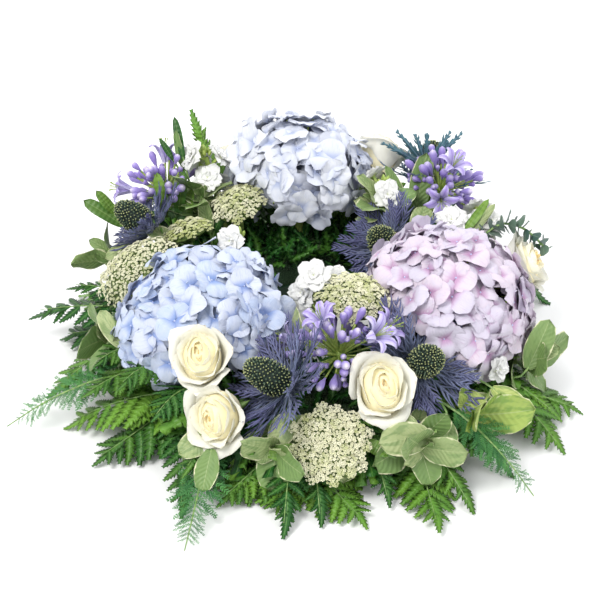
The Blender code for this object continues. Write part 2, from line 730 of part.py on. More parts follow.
def hydrangea(name, place, spread, half_height, axis, count):
    """A dense head of four-petalled florets that stand out of a smaller core, on a stout stem."""
    frame = facing(Vector(place), axis)
    base = Vector(place) - Vector(axis).normalized() * half_height * 0.44
    core = hydrangea_core(place, spread, half_height, axis, count)
    shapes = [core, stem(base, axis, HYDRANGEA_STEM, sides=5)]
    draw, own = random.Random(name), []
    for i in range(count):
        fall = math.acos(1 - FLORET_COVER * (i + 0.5) / count)
        bearing = i * math.pi * (3 - math.sqrt(5))
        spot = polar(math.sin(fall) * spread, bearing, math.cos(fall) * half_height)
        out = Vector((spot.x / spread**2, spot.y / spread**2, spot.z / half_height**2)).normalized()
        best = None
        for sink, shrink in FLORET_SEATS:
            for spin in (draw.uniform(0, 1.6), draw.uniform(0, 1.6)):
                seat = facing(spot - out * (0.003 + sink), out, spin)
                foot = seat.inverted() @ (spot * 0.50)
                flower = floret(4, FLORET_RADIUS * shrink, FLORET_NOTCH, FLORET_LOBE, 0.0024, foot)
                flower = moved(flower, frame @ seat)
                if not free(flower):
                    continue
                best = best or flower
                if clear_of(flower, own):
                    best = flower
                    break
            else:
                continue
            break
        if best:
            shapes.append(best)
            own.append((*bounds(best[0]), BVHTree.FromPolygons(*best)))
    piece(name, shapes, name)


def agapanthus(name, place, axis, reach):
    """A ball of thin stalks from one hub, with long buds and a few open six-lobed flowers."""
    axis = Vector(axis).normalized()
    frame = facing(Vector(place), axis)
    hub = turned(((0, -0.006), (0.0055, -0.002), (0.0055, 0.002), (0, 0.006)), 6)
    shapes = [moved(hub, frame), stem(Vector(place), axis, AGAPANTHUS_STEM, bury=0.001)]
    siblings = []
    for i in range(AGAPANTHUS_FLOWERS):
        fall = math.acos(1 - 1.05 * (i + 0.5) / AGAPANTHUS_FLOWERS)
        bearing = i * math.pi * (3 - math.sqrt(5))

        def make(turn, shorter, fall=fall, bearing=bearing, is_open=i % 4 == 1):
            way, far = polar(math.sin(fall + turn), bearing, math.cos(fall + turn)), reach * shorter
            if is_open:
                seat = facing(way * far, way, bearing)
                foot = seat.inverted() @ (way * 0.001)
                return moved(floret(6, 0.0150, 0.40, 0, 0.003, foot), frame @ seat)
            path = [way * 0.001, way * (far - 0.019), way * (far - 0.008), way * far]
            return moved(tube(path, [0.0010, 0.0012, 0.0044, 0], 3), frame)

        turns = (0, -0.2, 0.2, -0.4, 0.4)
        shapes.append(best_free(make, [(turn, s) for s in (1, 0.85, 0.7) for turn in turns], siblings, 99))
    piece(name, shapes, "agapanthus")


def stock(name, place, axis, count):
    """A stem with white four-petalled flowers in a spiral and green buds at its tip."""
    axis = Vector(axis).normalized()
    frame = facing(Vector(place), axis)
    tip = turned(((0, -0.004), (0.0048, 0.001), (0.0040, 0.009), (0, 0.014)), 5)
    shapes = [moved(tip, frame), stem(Vector(place), axis, STOCK_STEM, bury=0.001)]
    siblings = []
    for i in range(count):
        bearing, down = i * 2.4, 0.001 + 0.0075 * i

        def make(turn, size, lean, bearing=bearing, down=down):
            out = polar(math.sin(lean), bearing + turn, math.cos(lean))
            seat = facing(out * 0.0165 * size + Vector((0, 0, -down)), out, bearing)
            flower = floret(4, STOCK_FLOWER * size, 0.55, 0.48, 0.002, (0, 0, -0.0165 * size))
            return moved(flower, frame @ seat)

        turns = (0, 0.5, -0.5, 1.1, -1.1)
        options = [(turn, size, lean) for size in (1, 0.82, 0.66) for lean in (1.0, 0.6) for turn in turns]
        shapes.append(best_free(make, options, siblings))
    piece(name, shapes, "stock")


# Greenery.


def sprig(name, place, axis, count, length):
    """A thin stem with broad waved leaves set round its outer part."""
    axis = Vector(axis).normalized()
    frame = facing(Vector(place), axis)
    shapes = [stem(Vector(place), axis, SPRIG_STEM, bury=0.003)]
    draw, siblings = random.Random(name), []
    for i in range(count):
        bearing, down = i * 2.4 + draw.uniform(-0.2, 0.2), 0.0045 * i
        size, splay = length * draw.uniform(0.85, 1.1), 0.55 + 0.8 * i / count

        def make(turn, lift, shrink, bearing=bearing, down=down, size=size, splay=splay):
            leaf = broad_leaf(size * shrink, size * shrink * 0.34, 0.20, 0.0014)
            upright = Matrix.Rotation(-(math.pi / 2 - splay - lift), 4, "Y")
            placed = Matrix.Translation((0, 0, -down)) @ Matrix.Rotation(bearing + turn, 4, "Z") @ upright
            return moved(leaf, frame @ placed)

        turns = (0, 0.45, -0.45, 0.9, -0.9)
        options = [(t, lift, s) for s in (1, 0.8, 0.62) for t in turns for lift in (0, 0.3, -0.3, 0.6)]
        shapes.append(best_free(make, options, siblings))
    piece(name, shapes, "leaf")


def frond_path(start, tip_bearing, reach, tip_height, rise, steps=6):
    """A low arch from the ring's shoulder out to a tip close above the floor."""
    end = polar(reach, math.radians(tip_bearing), tip_height)
    middle = start.lerp(end, 0.5) + Vector((0, 0, rise))
    return bezier(start, middle, end, steps)


def shoulder_root(root_bearing, height, thickness):
    """A stalk's root and the spot where it leaves the foam's outer side, with its hole drilled."""
    for turn in (0, 2, -2, 4, -4, 6, -6, 8, -8, 11, -11, 14, -14, 0):
        bearing = math.radians(root_bearing + turn)
        root = polar(TRAY_OUTER - ROOT_MARGIN, bearing, min(FOAM_TOP - ROOT_DEPTH, height - 0.001))
        leave = polar(TRAY_OUTER - 0.001, bearing, height)
        if clear_of(tube([root, leave], [thickness] * 2, 4), standing[2:]):
            break
    drill([root, leave], thickness, 4)
    return root, leave


def fern(name, root_bearing, height, tips):
    """Fronds that fan out from one stalk in the shoulder of the foam."""
    root, leave = shoulder_root(root_bearing, height, FERN_STALK)
    shapes = [tube([root, leave], [FERN_STALK] * 2, 4)]
    siblings = []
    for tip in tips:
        tip_bearing, reach, tip_height = (*tip, FERN_TIP_HEIGHT)[:3]

        def make(rise, turn, width, shorter, bearing=tip_bearing, reach=reach, tip_height=tip_height):
            start = leave - (leave - root).normalized() * 0.001
            path = frond_path(start, bearing + turn, reach * shorter, tip_height, rise)
            across = (path[-1] - path[0]).cross(Vector((0, 0, 1)))
            return cut_blade(path, width, FERN_PAIRS, across, 0.0013, 0.75, bare=0.06)

        options = [
            (rise, turn, width, shorter)
            for width in (FERN_HALF_WIDTH, 0.022, 0.016)
            for shorter in (1.0, 0.94, 0.87)
            for turn in (0, 4, -4, 9, -9)
            for rise in (0.016, 0.006, -0.005, 0.028, -0.016, -0.026, 0.040)
        ]
        shapes.append(best_free(make, options, siblings, FERN_CROSSINGS))
    piece(name, shapes, "fern")


def plume(name, root_bearing, height, tip_bearing, reach):
    """A fine arching frond with slender teeth in one plane."""
    root, leave = shoulder_root(root_bearing, height, PLUME_STALK)
    shapes = [tube([root, leave], [PLUME_STALK] * 2, 4)]

    def make(rise, turn, width):
        start = leave - (leave - root).normalized() * 0.001
        path = frond_path(start, tip_bearing + turn, reach, PLUME_TIP_HEIGHT, rise)
        across = (path[-1] - path[0]).cross(Vector((0, 0, 1)))
        return cut_blade(path, width, PLUME_PAIRS, across, 0.0010, 0.9, bare=0.36, gap=0.66)

    rises = (0.030, 0.022, 0.014, 0.038, 0.046, 0.004, -0.006, -0.016)
    widths, turns = (PLUME_HALF_WIDTH, 0.026, 0.018), (0, 4, -4, 8, -8)
    options = [(rise, turn, width) for width in widths for turn in turns for rise in rises]
    shapes.append(best_free(make, options, []))
    piece(name, shapes, "asparagus")


def eucalyptus(name, place, axis):
    """An arching twig with small round leaves in pairs."""
    twig = stem(Vector(place), Vector(axis).normalized(), EUCALYPTUS_TWIG)
    leave, bend, tip = [sum(twig[0][i : i + 4], Vector()) / 4 for i in (4, 8, 12)]
    shapes, siblings = [twig], []
    for i in range(EUCALYPTUS_LEAVES):
        along = 1.94 - (i // 2) * 0.41
        low, high = (bend, tip) if along > 1 else (leave, bend)
        spot = low.lerp(high, along - 1 if along > 1 else along)
        frame = facing(spot, high - low, (i % 2) * math.pi + (i // 2) * 1.2)

        def make(turn, size, frame=frame):
            leaf = broad_leaf(0.017 * size, 0.0080 * size, 0.1, 0.0004, 0.0010)
            return moved(leaf, frame @ Matrix.Rotation(turn, 4, "Z") @ Matrix.Rotation(-0.5, 4, "Y"))

        shapes.append(best_free(make, [(turn, s) for s in (1, 0.7) for turn in (0, 0.5, -0.5)], siblings))
    piece(name, shapes, "eucalyptus")


def centre_on_origin():
    """Moves the whole wreath so that the middle of its outline lies on the origin."""
    shown = [o for o in bpy.data.objects if o.type == "MESH"]
    spots = [v.co for o in shown for v in o.data.vertices]
    middle = [(min(p[i] for p in spots) + max(p[i] for p in spots)) / 2 for i in range(2)]
    for o in shown:
        o.data.transform(Matrix.Translation((-middle[0], -middle[1], 0)))


def main():
    for old in list(bpy.data.objects):
        bpy.data.objects.remove(old)
    piece("tray", [tray_shape()], "tray")
    stand(foam_shape())
    for build, rows in ((rose, ROSES), (umbel, UMBELS), (thistle_cone, THISTLES)):
        for name, row in rows.items():
            build(name, *row)
    cores = [hydrangea_core(*row) for row in HYDRANGEAS.values()]
    first_core = len(standing)
    for core in cores:
        stand(core)
    for name, row in THISTLES.items():
        thistle_collar(name, *row)
    del standing[first_core : first_core + len(cores)]
    for build, rows in (
        (hydrangea, HYDRANGEAS),
        (stock, STOCKS),
        (agapanthus, AGAPANTHUS),
        (plume, PLUMES),
        (sprig, SPRIGS),
        (fern, FERNS),
    ):
        for name, row in rows.items():
            build(name, *row)
    eucalyptus("eucalyptus", *EUCALYPTUS)
    foam = mesh_object("foam_ring", foam_shape(), bpy.context.scene.collection)
    with_boolean(foam, foam_holes, "DIFFERENCE")
    keep_main_body(foam)
    foam.data.materials.clear()
    foam.data.materials.append(material("foam"))
    centre_on_origin()


main()
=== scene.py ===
"""Looks of the thistle and rose wreath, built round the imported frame: dense flower heads, layered
roses, spiny thistles, toothed ferns and feathery asparagus, each in the place of its CAD node."""

import math
import random

import bpy
import numpy as np
from mathutils import Matrix, Vector
from mathutils.bvhtree import BVHTree


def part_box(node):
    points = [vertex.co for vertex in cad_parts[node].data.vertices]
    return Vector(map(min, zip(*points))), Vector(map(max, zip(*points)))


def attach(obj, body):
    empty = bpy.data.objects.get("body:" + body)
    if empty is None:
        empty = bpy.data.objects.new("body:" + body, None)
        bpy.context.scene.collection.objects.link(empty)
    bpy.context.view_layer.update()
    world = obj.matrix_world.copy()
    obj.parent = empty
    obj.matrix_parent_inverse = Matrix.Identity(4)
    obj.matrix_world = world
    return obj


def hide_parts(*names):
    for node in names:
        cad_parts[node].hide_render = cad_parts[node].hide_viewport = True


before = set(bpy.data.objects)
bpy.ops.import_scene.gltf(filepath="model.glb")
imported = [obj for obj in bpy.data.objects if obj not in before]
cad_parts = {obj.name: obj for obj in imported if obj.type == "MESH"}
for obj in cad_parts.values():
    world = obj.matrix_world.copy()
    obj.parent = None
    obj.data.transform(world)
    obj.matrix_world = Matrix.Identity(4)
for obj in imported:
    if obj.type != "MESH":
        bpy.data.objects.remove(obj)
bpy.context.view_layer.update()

# The ring, in metres. Places below are measured from the ring's middle, as in the CAD source.
tray_low, tray_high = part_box("tray")
MIDDLE = Vector(((tray_low.x + tray_high.x) / 2, (tray_low.y + tray_high.y) / 2, 0))
TRAY_OUTER = (tray_high.x - tray_low.x) / 2
TRAY_INNER = 0.0800
FOAM_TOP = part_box("foam_ring")[1].z
# Least and greatest radius of the stems' roots in the foam, and their height.
STEM_ROOTS = (0.095, 0.139, 0.040)
# Below the first height, leaves are eased so that none comes nearer to the floor than the second.
SOFT_LANDING = 0.0040
FLOOR_GAP = 0.0006

# How far from its node's surface a flower or bract, and a leaf or frond, may be seated.
SEAT_GAP = 0.0020
LEAF_GAP = 0.0030

# Place, facing, spread, half height and floret count of each hydrangea head.
HYDRANGEAS = {
    "hydrangea_blue": ((-0.102, -0.055, 0.083), (-0.25, -0.22, 1.0), 0.072, 0.047, 100),
    "hydrangea_pale": ((-0.019, 0.136, 0.110), (-0.05, 0.10, 1.0), 0.065, 0.054, 92),
    "hydrangea_pink": ((0.113, -0.040, 0.090), (0.25, -0.20, 1.0), 0.074, 0.054, 110),
}
# How far down its dome the florets go: 1 is to the widest part.
FLORET_COVER = 1.46
FLORET_RADIUS = 0.0170
# Different florets in the outer layer, and plainer ones in the layer below.
UPPER_KINDS = 14
LOWER_KINDS = 6

# Place, facing and radius of each rose.
ROSES = {
    "rose_1": ((-0.097, -0.127, 0.092), (-0.12, -0.55, 0.80), 0.0275),
    "rose_2": ((-0.082, -0.166, 0.063), (-0.35, -0.75, 0.45), 0.0280),
    "rose_3": ((0.050, -0.150, 0.079), (0.14, -0.62, 0.75), 0.0290),
    "rose_4": ((0.182, 0.024, 0.080), (0.80, -0.05, 0.60), 0.0265),
    "rose_5": ((0.060, 0.166, 0.108), (0.27, 0.75, 0.65), 0.0265),
    "rose_6": ((-0.082, 0.180, 0.088), (-0.35, 0.80, 0.50), 0.0275),
}
ROSE_HEIGHT = 0.044
# The radius that the petals' measures below are for.
ROSE_RADIUS = 0.0275
ROSE_PETALS = 16

# Base of each thistle cone, its facing, cone length and bract length.
THISTLES = {
    "thistle_1": ((-0.030, -0.148, 0.082), (-0.75, -0.10, 0.62), 0.038, 0.062),
    "thistle_2": ((0.084, -0.118, 0.080), (0.35, -0.62, 0.70), 0.034, 0.060),
    "thistle_3": ((0.064, 0.048, 0.086), (-0.40, -0.50, 0.77), 0.032, 0.048),
    "thistle_4": ((-0.158, 0.078, 0.088), (-0.77, 0.12, 0.60), 0.034, 0.048),
    "thistle_5": ((0.106, 0.160, 0.094), (0.22, 0.35, 0.90), 0.032, 0.056),
}
CONE_RADIUS = 0.0125
CONE_FLORETS = 330
# Bracts of each whorl, their share of the bract length, and their rise in radians.
BRACT_WHORLS = ((7, 1.0, 0.05), (5, 0.80, 0.34))
# Turn, share of the length and lobe pairs of a frame's bract and of the slimmer ones beside it.
BRACT_FAN = ((0, 1.0, 9), (-0.20, 0.86, 7), (0.23, 0.70, 6))
# One thistle is teal. These are the ends of the broad bracts that stand up round its cone.
TEAL_THISTLE = "thistle_5"
TEAL_TIPS = (
    (0.139, 0.161, 0.140), (0.124, 0.148, 0.138), (0.128, 0.164, 0.140), (0.104, 0.156, 0.142),
    (0.093, 0.158, 0.140), (0.075, 0.165, 0.140), (0.060, 0.146, 0.138),
)

# Hub of each agapanthus head, its facing, the length of its flower stalks and the ways
# that its large open flowers face.
AGAPANTHUS = {
    "agapanthus_1": (
        (0.017, -0.112, 0.084), (0.02, -0.42, 0.90), 0.048, ((0.62, -0.34, 0.70), (0.80, -0.05, 0.62))
    ),
    "agapanthus_2": ((-0.142, 0.124, 0.092), (-0.55, 0.40, 0.75), 0.046, ()),
    "agapanthus_3": ((0.116, 0.122, 0.098), (0.50, 0.10, 0.80), 0.046, ()),
}
# Buds and flowers that each head has in the frame, and buds that are added beside each of them.
AGAPANTHUS_FLOWERS = 12
EXTRA_BUDS = 5

# Middle of each lacy umbel, its facing, radius and how green it is.
UMBELS = {
    "umbel_1": ((-0.162, 0.016, 0.078), (-0.45, -0.10, 0.85), 0.044, 0.35),
    "umbel_2": ((-0.120, 0.064, 0.090), (-0.30, 0.25, 0.90), 0.026, 0.75),
    "umbel_3": ((-0.073, 0.086, 0.106), (-0.20, -0.10, 0.95), 0.029, 0.55),
    "umbel_4": ((0.030, -0.070, 0.112), (0.05, -0.10, 1.00), 0.034, 0.45),
    "umbel_5": ((0.009, -0.189, 0.052), (0.05, -0.72, 0.68), 0.036, 0.40),
    "umbel_6": ((-0.010, 0.200, 0.056), (-0.05, 0.80, 0.60), 0.030, 0.50),
}
# Above this radius an umbel is a large one. Clusters of a small and a large one, and tiny flowers
# in each cluster.
LARGE_UMBEL = 0.030
SMALL_CLUSTERS = 28
LARGE_CLUSTERS = 44
CLUSTER_FLOWERS = 15
# How wide the band is that the outer clusters need inside the umbel's rim.
UMBEL_RIM = 0.004

# Top of each stock stem, its facing and flower count.
STOCKS = {
    "stock_1": ((-0.070, 0.018, 0.112), (-0.20, 0.10, 1.00), 4),
    "stock_2": ((-0.004, -0.044, 0.114), (-0.05, -0.10, 1.00), 5),
    "stock_3": ((-0.104, 0.132, 0.128), (-0.20, 0.30, 0.90), 6),
    "stock_4": ((0.062, 0.104, 0.112), (0.15, 0.20, 0.95), 5),
    "stock_5": ((0.150, 0.070, 0.098), (0.45, 0.25, 0.80), 6),
}
# Radius of a full-sized flower, and small buds at the stem's tip, of which some stand wide.
STOCK_FLOWER = 0.0145
STOCK_BUDS = 9
WIDE_BUDS = 6

# Tip of each leafy sprig, its facing, leaf count and leaf length.
SPRIGS = {
    "leaves_1": ((-0.108, 0.104, 0.104), (-0.20, 0.25, 0.95), 6, 0.039),
    "leaves_2": ((0.058, 0.090, 0.104), (0.10, 0.05, 1.00), 6, 0.043),
    "leaves_3": ((-0.192, 0.062, 0.060), (-0.85, 0.35, 0.30), 6, 0.037),
    "leaves_4": ((-0.184, -0.046, 0.052), (-0.90, -0.20, 0.25), 6, 0.039),
    "leaves_5": ((-0.036, -0.188, 0.046), (-0.10, -0.95, 0.15), 6, 0.038),
    "leaves_6": ((0.084, -0.182, 0.044), (0.35, -0.90, 0.20), 6, 0.042),
    "leaves_7": ((0.132, -0.146, 0.048), (0.70, -0.62, 0.25), 6, 0.044),
    "leaves_8": ((0.182, -0.070, 0.046), (0.95, -0.25, 0.20), 6, 0.041),
}
LIME_SPRIGS = ("leaves_7",)

# Bearing and height of each fern's stalk, then bearing, reach and height of each tip.
FERNS = {
    "fern_1": (176, 0.034, ((160, 0.236), (176, 0.266), (191, 0.240))),
    "fern_2": (221, 0.034, ((207, 0.238), (220, 0.240), (233, 0.240))),
    "fern_3": (262, 0.034, ((246, 0.246), (258, 0.252), (270, 0.250), (282, 0.244))),
    "fern_4": (302, 0.034, ((292, 0.250), (304, 0.256), (317, 0.246))),
    "fern_5": (336, 0.034, ((326, 0.244), (338, 0.240), (350, 0.236))),
    "fern_6": (46, FOAM_TOP, ((20, 0.228), (38, 0.234), (56, 0.234), (74, 0.228))),
    "fern_7": (122, FOAM_TOP, ((96, 0.226), (112, 0.234), (133, 0.212, 0.146), (147, 0.234))),
}
FERN_TIP_HEIGHT = 0.010
# Leaflet pairs of a frond.
FROND_PAIRS = 8

# Bearing and height of each asparagus plume's stalk, bearing and reach of its tip.
PLUMES = {
    "asparagus_1": (206, 0.034, 203, 0.292),
    "asparagus_2": (236, FOAM_TOP, 248, 0.286),
    "asparagus_3": (306, FOAM_TOP, 311, 0.268),
}
PLUME_TIP_HEIGHT = 0.008
# Branch pairs of a plume and needle pairs of each of its twigs.
PLUME_PAIRS = 24
NEEDLE_PAIRS = 12

# End and facing of the eucalyptus twig, the leaves of its two twigs, and foot, bend and tip of the
# second, over rose_4.
EUCALYPTUS = {"eucalyptus": ((0.204, 0.054, 0.084), (0.92, 0.0, 0.2))}
EUCALYPTUS_LEAVES = (16, 22)
EUCALYPTUS_BRANCH = ((0.140, 0.040, 0.080), (0.164, 0.052, 0.140), (0.208, 0.040, 0.088))

# Single leaves between the blooms: foot, tip, half width, look and tint of each.
LOOSE_LEAVES = (
    ((-0.110, 0.131, 0.085), (-0.088, 0.137, 0.118), 0.006, "plain_leaf", 0.5),
    ((-0.100, 0.080, 0.080), (-0.106, 0.087, 0.110), 0.007, "leaf", 0.5),
    ((-0.096, 0.080, 0.080), (-0.086, 0.084, 0.100), 0.006, "plain_leaf", 0.1),
    ((-0.185, 0.118, 0.062), (-0.220, 0.126, 0.085), 0.007, "plain_leaf", 0.45),
    ((-0.190, 0.124, 0.068), (-0.208, 0.126, 0.095), 0.005, "plain_leaf", 0.7),
    ((-0.125, 0.127, 0.130), (-0.133, 0.143, 0.165), 0.004, "plain_leaf", 0.0),
    ((-0.126, 0.129, 0.120), (-0.132, 0.134, 0.155), 0.004, "leaf", 0.0),
    ((-0.134, 0.128, 0.128), (-0.146, 0.130, 0.150), 0.003, "plain_leaf", 0.1),
    ((-0.139, 0.097, 0.078), (-0.149, 0.106, 0.125), 0.006, "plain_leaf", 0.9),
    ((-0.131, 0.097, 0.078), (-0.125, 0.113, 0.125), 0.006, "plain_leaf", 0.4),
    ((-0.125, 0.088, 0.075), (-0.118, 0.108, 0.108), 0.006, "plain_leaf", 0.8),
    ((-0.134, 0.067, 0.075), (-0.154, 0.091, 0.095), 0.009, "plain_leaf", 0.0),
    ((-0.120, 0.075, 0.070), (-0.135, 0.092, 0.098), 0.008, "plain_leaf", 0.2),
    ((-0.126, 0.055, 0.085), (-0.156, 0.069, 0.090), 0.008, "leaf", 0.7),
    ((-0.165, 0.062, 0.078), (-0.195, 0.054, 0.070), 0.008, "leaf", 0.8),
    ((-0.188, 0.072, 0.060), (-0.211, 0.074, 0.075), 0.006, "leaf", 0.4),
    ((0.092, 0.104, 0.085), (0.102, 0.126, 0.135), 0.011, "leaf", 0.2),
    ((0.082, 0.104, 0.085), (0.066, 0.116, 0.128), 0.007, "leaf", 0.2),
    ((0.065, 0.108, 0.085), (0.027, 0.112, 0.115), 0.007, "leaf", 0.4),
    ((0.071, 0.091, 0.088), (0.037, 0.089, 0.110), 0.008, "leaf", 0.9),
    ((0.091, 0.052, 0.095), (0.097, 0.059, 0.121), 0.011, "leaf", 0.6),
    ((0.130, 0.048, 0.095), (0.154, 0.062, 0.126), 0.004, "plain_leaf", 0.9),
    ((0.136, 0.047, 0.095), (0.160, 0.061, 0.122), 0.004, "leaf", 0.8),
    ((0.069, 0.082, 0.080), (0.065, 0.086, 0.105), 0.005, "plain_leaf", 0.9),
    ((-0.170, -0.072, 0.062), (-0.189, -0.052, 0.085), 0.008, "leaf", 0.8),
    ((0.180, -0.087, 0.050), (0.198, -0.067, 0.085), 0.012, "leaf", 0.3),
    ((0.176, -0.076, 0.055), (0.207, -0.073, 0.062), 0.009, "leaf", 0.6),
    ((0.126, -0.125, 0.055), (0.141, -0.155, 0.033), 0.012, "lime_leaf", 0.6),
    ((0.146, -0.119, 0.055), (0.177, -0.142, 0.043), 0.010, "lime_leaf", 0.7),
    ((0.106, -0.158, 0.052), (0.104, -0.183, 0.033), 0.009, "leaf", 0.4),
    ((-0.088, -0.173, 0.050), (-0.114, -0.185, 0.040), 0.011, "leaf", 0.6),
    ((-0.088, -0.186, 0.045), (-0.095, -0.212, 0.024), 0.010, "leaf", 0.2),
    ((-0.022, -0.166, 0.066), (-0.037, -0.187, 0.050), 0.011, "leaf", 0.8),
    ((-0.042, -0.190, 0.042), (-0.016, -0.193, 0.050), 0.007, "plain_leaf", 0.8),
    ((0.089, -0.180, 0.055), (0.050, -0.196, 0.060), 0.014, "leaf", 1.0),
    ((0.080, -0.178, 0.058), (0.064, -0.166, 0.066), 0.006, "leaf", 0.7),
    ((0.056, -0.190, 0.042), (0.037, -0.182, 0.050), 0.006, "plain_leaf", 0.7),
    ((0.021, -0.177, 0.040), (0.020, -0.203, 0.026), 0.011, "leaf", 0.7),
    ((-0.022, -0.088, 0.066), (-0.034, -0.050, 0.100), 0.014, "leaf", 0.8),
    ((-0.040, -0.080, 0.064), (-0.046, -0.046, 0.080), 0.011, "plain_leaf", 0.3),
)

# Bearing, reach, tip height, half width and rise of the fronds between the others.
LOOSE_FRONDS = (
    (176, 0.255, 0.036, 0.030, 0.012), (171, 0.225, 0.052, 0.020, 0.012),
    (208, 0.222, 0.040, 0.026, 0.012), (241, 0.222, 0.034, 0.024, 0.012),
    (263, 0.238, 0.010, 0.022, 0.012), (270, 0.225, 0.010, 0.019, 0.012),
    (285, 0.213, 0.012, 0.018, 0.012), (300, 0.241, 0.010, 0.022, 0.012),
    (310, 0.222, 0.034, 0.026, 0.012), (333, 0.228, 0.016, 0.020, 0.012),
    (352, 0.205, 0.040, 0.022, 0.012), (204, 0.206, 0.058, 0.022, 0.024),
    (216, 0.204, 0.062, 0.024, 0.030), (228, 0.202, 0.052, 0.024, 0.026),
)

# Place, facing and radius of the white flowers that stand alone.
LOOSE_FLOWERS = (
    ((0.112, -0.108, 0.072), (0.2, -0.8, 0.5), 0.013),
    ((0.133, -0.108, 0.066), (0.5, -0.8, 0.4), 0.012),
    ((0.153, -0.106, 0.064), (0.6, -0.7, 0.3), 0.012),
    ((0.122, 0.058, 0.108), (0.0, -0.4, 0.9), 0.016),
    ((0.159, 0.060, 0.106), (0.3, -0.3, 0.9), 0.013),
    ((0.016, -0.030, 0.106), (0.2, -0.5, 0.8), 0.013),
)

# How far inside the foam's edges and how deep the stalks of loose leaves and flowers stand.
ROOT_MARGIN = 0.012
ROOT_DEPTH = 0.004

# Moss tufts, and leaflets over the foam's top, round its rim, over the hole and at the back.
MOSS_TUFTS = 1300
TOP_LEAFLETS = 900
RIM_LEAFLETS = 230
HOLE_LEAFLETS = 110
BACK_LEAFLETS = 170
# Leaflets of the top keep this far from the middle.
HOLE_CLEAR = 0.052

FLOOR_HALF = 6.0

# The photograph's camera: it looks down at the wreath from in front.
LOOK_AT = Vector((-0.016, 0, 0.06))
CAMERA_ELEVATION = math.radians(36)
CAMERA_DISTANCE = 1.5
CAMERA_LENS = 100
TO_CAMERA = Vector((0, -math.cos(CAMERA_ELEVATION), math.sin(CAMERA_ELEVATION)))

# The golden angle, which spreads things evenly over a dome.
GOLDEN = math.pi * (3 - math.sqrt(5))
SIDEWAYS = np.array([0.0, 1.0, 0.0])
UPWARD = np.array([0.0, 0.0, 1.0])


# Points and frames


def polar(radius, bearing, height=0.0):
    return Vector((radius * math.cos(bearing), radius * math.sin(bearing), height))


def spun(angle, axis="Z"):
    return Matrix.Rotation(angle, 4, axis)


def sized(size):
    return Matrix.Scale(size, 4)


def facing(place, axis, spin=0.0):
    """The frame at a place whose +Z points along axis, turned about it by spin."""
    turn = Vector(axis).to_track_quat("Z", "Y").to_matrix().to_4x4()
    return Matrix.Translation(place) @ turn @ spun(spin)


def frame_from(place, x_axis, z_axis, size=1.0):
    """The frame at a place whose +X points along x_axis and whose +Z leans towards z_axis."""
    x_axis = x_axis.normalized()
    y_axis = z_axis.cross(x_axis).normalized()
    turn = Matrix((x_axis, y_axis, x_axis.cross(y_axis))).transposed().to_4x4()
    return Matrix.Translation(place) @ turn @ sized(size)


def bezier(start, middle, end, steps):
    """Points along a curve that its middle point pulls aside."""
    shares = [i / steps for i in range(steps + 1)]
    return [start * (1 - t) ** 2 + middle * 2 * t * (1 - t) + end * t * t for t in shares]


def along_path(path, share):
    """The point at a share, from 0 to 1, of a path's steps."""
    place = max(0.0, min(share, 1.0)) * (len(path) - 1)
    i = min(int(place), len(path) - 2)
    return path[i].lerp(path[i + 1], place - i)


def unit(rows):
    """Vectors in rows, each of them 1 long."""
    return rows / np.maximum(np.linalg.norm(rows, axis=-1, keepdims=True), 1e-12)


# Reading the frame


def node_shape(name):
    """The points of a CAD node, measured from the ring's middle, and its triangles."""
    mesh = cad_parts[name].data
    points = [v.co - MIDDLE for v in mesh.vertices]
    return points, [tuple(f.vertices) for f in mesh.polygons]


def node_tree(name):
    return BVHTree.FromPolygons(*node_shape(name))


ROSE_TREES = [node_tree(rose_name) for rose_name in ROSES]


def closest(tree, probes, options, within=math.inf):
    """The option whose probe points lie closest to a node's surface, or None if all are far."""
    def distance(option):
        found = probes(*option)
        return sum(tree.find_nearest(p)[3] for p in found) / len(found)

    best = min(options, key=distance)
    return best if distance(best) < within else None


def stem_root(name):
    """The middle of what a node has deep in the foam, which is the root of its stem."""
    inner, outer, top = STEM_ROOTS
    deep = [p for p in node_shape(name)[0] if inner < math.hypot(p.x, p.y) < outer and p.z < top]
    return sum(deep, Vector()) / len(deep)


# Gathering a mesh


def linked(name, data):
    """An object for some data, in the scene."""
    made = bpy.data.objects.new(name, data)
    bpy.context.scene.collection.objects.link(made)
    return made


class Patches:
    """Gathers patches of triangles. A spot says how far across and along a point is, and its tint."""

    def __init__(self):
        self.points, self.faces, self.spots, self.slots = [], [], [], []
        self.count = 0

    def add(self, points, faces, spots, slot=0):
        self.points.append(points)
        self.spots.append(spots)
        self.faces.append(faces + self.count)
        self.slots.append(np.full(len(faces), slot))
        self.count += len(points)

    def build(self, name, looks, slots, nodes):
        """The object: it rides on the wreath and stands for its CAD nodes."""
        points = np.concatenate(self.points) + np.array(MIDDLE)
        low = points[:, 2] < SOFT_LANDING
        spare = SOFT_LANDING - FLOOR_GAP
        points[low, 2] = FLOOR_GAP + spare * np.exp((points[low, 2] - SOFT_LANDING) / spare)
        faces, spots = np.concatenate(self.faces), np.concatenate(self.spots)
        mesh = bpy.data.meshes.new(name)
        mesh.vertices.add(len(points))
        mesh.vertices.foreach_set("co", points.astype(np.float32).ravel())
        mesh.loops.add(len(faces) * 3)
        mesh.loops.foreach_set("vertex_index", faces.astype(np.int32).ravel())
        mesh.polygons.add(len(faces))
        mesh.polygons.foreach_set("loop_start", np.arange(0, len(faces) * 3, 3, dtype=np.int32))
        mesh.polygons.foreach_set("material_index", np.concatenate(self.slots).astype(np.int32))
        mesh.polygons.foreach_set("use_smooth", np.ones(len(faces), bool))
        mesh.update(calc_edges=True)
        spot = mesh.attributes.new("spot", "FLOAT_VECTOR", "POINT")
        spot.data.foreach_set("vector", spots.astype(np.float32).ravel())
        for look in looks:
            mesh.materials.append(LOOKS[look])
        made = linked(name, mesh)
        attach(made, "root")
        if nodes:
            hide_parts(*nodes)


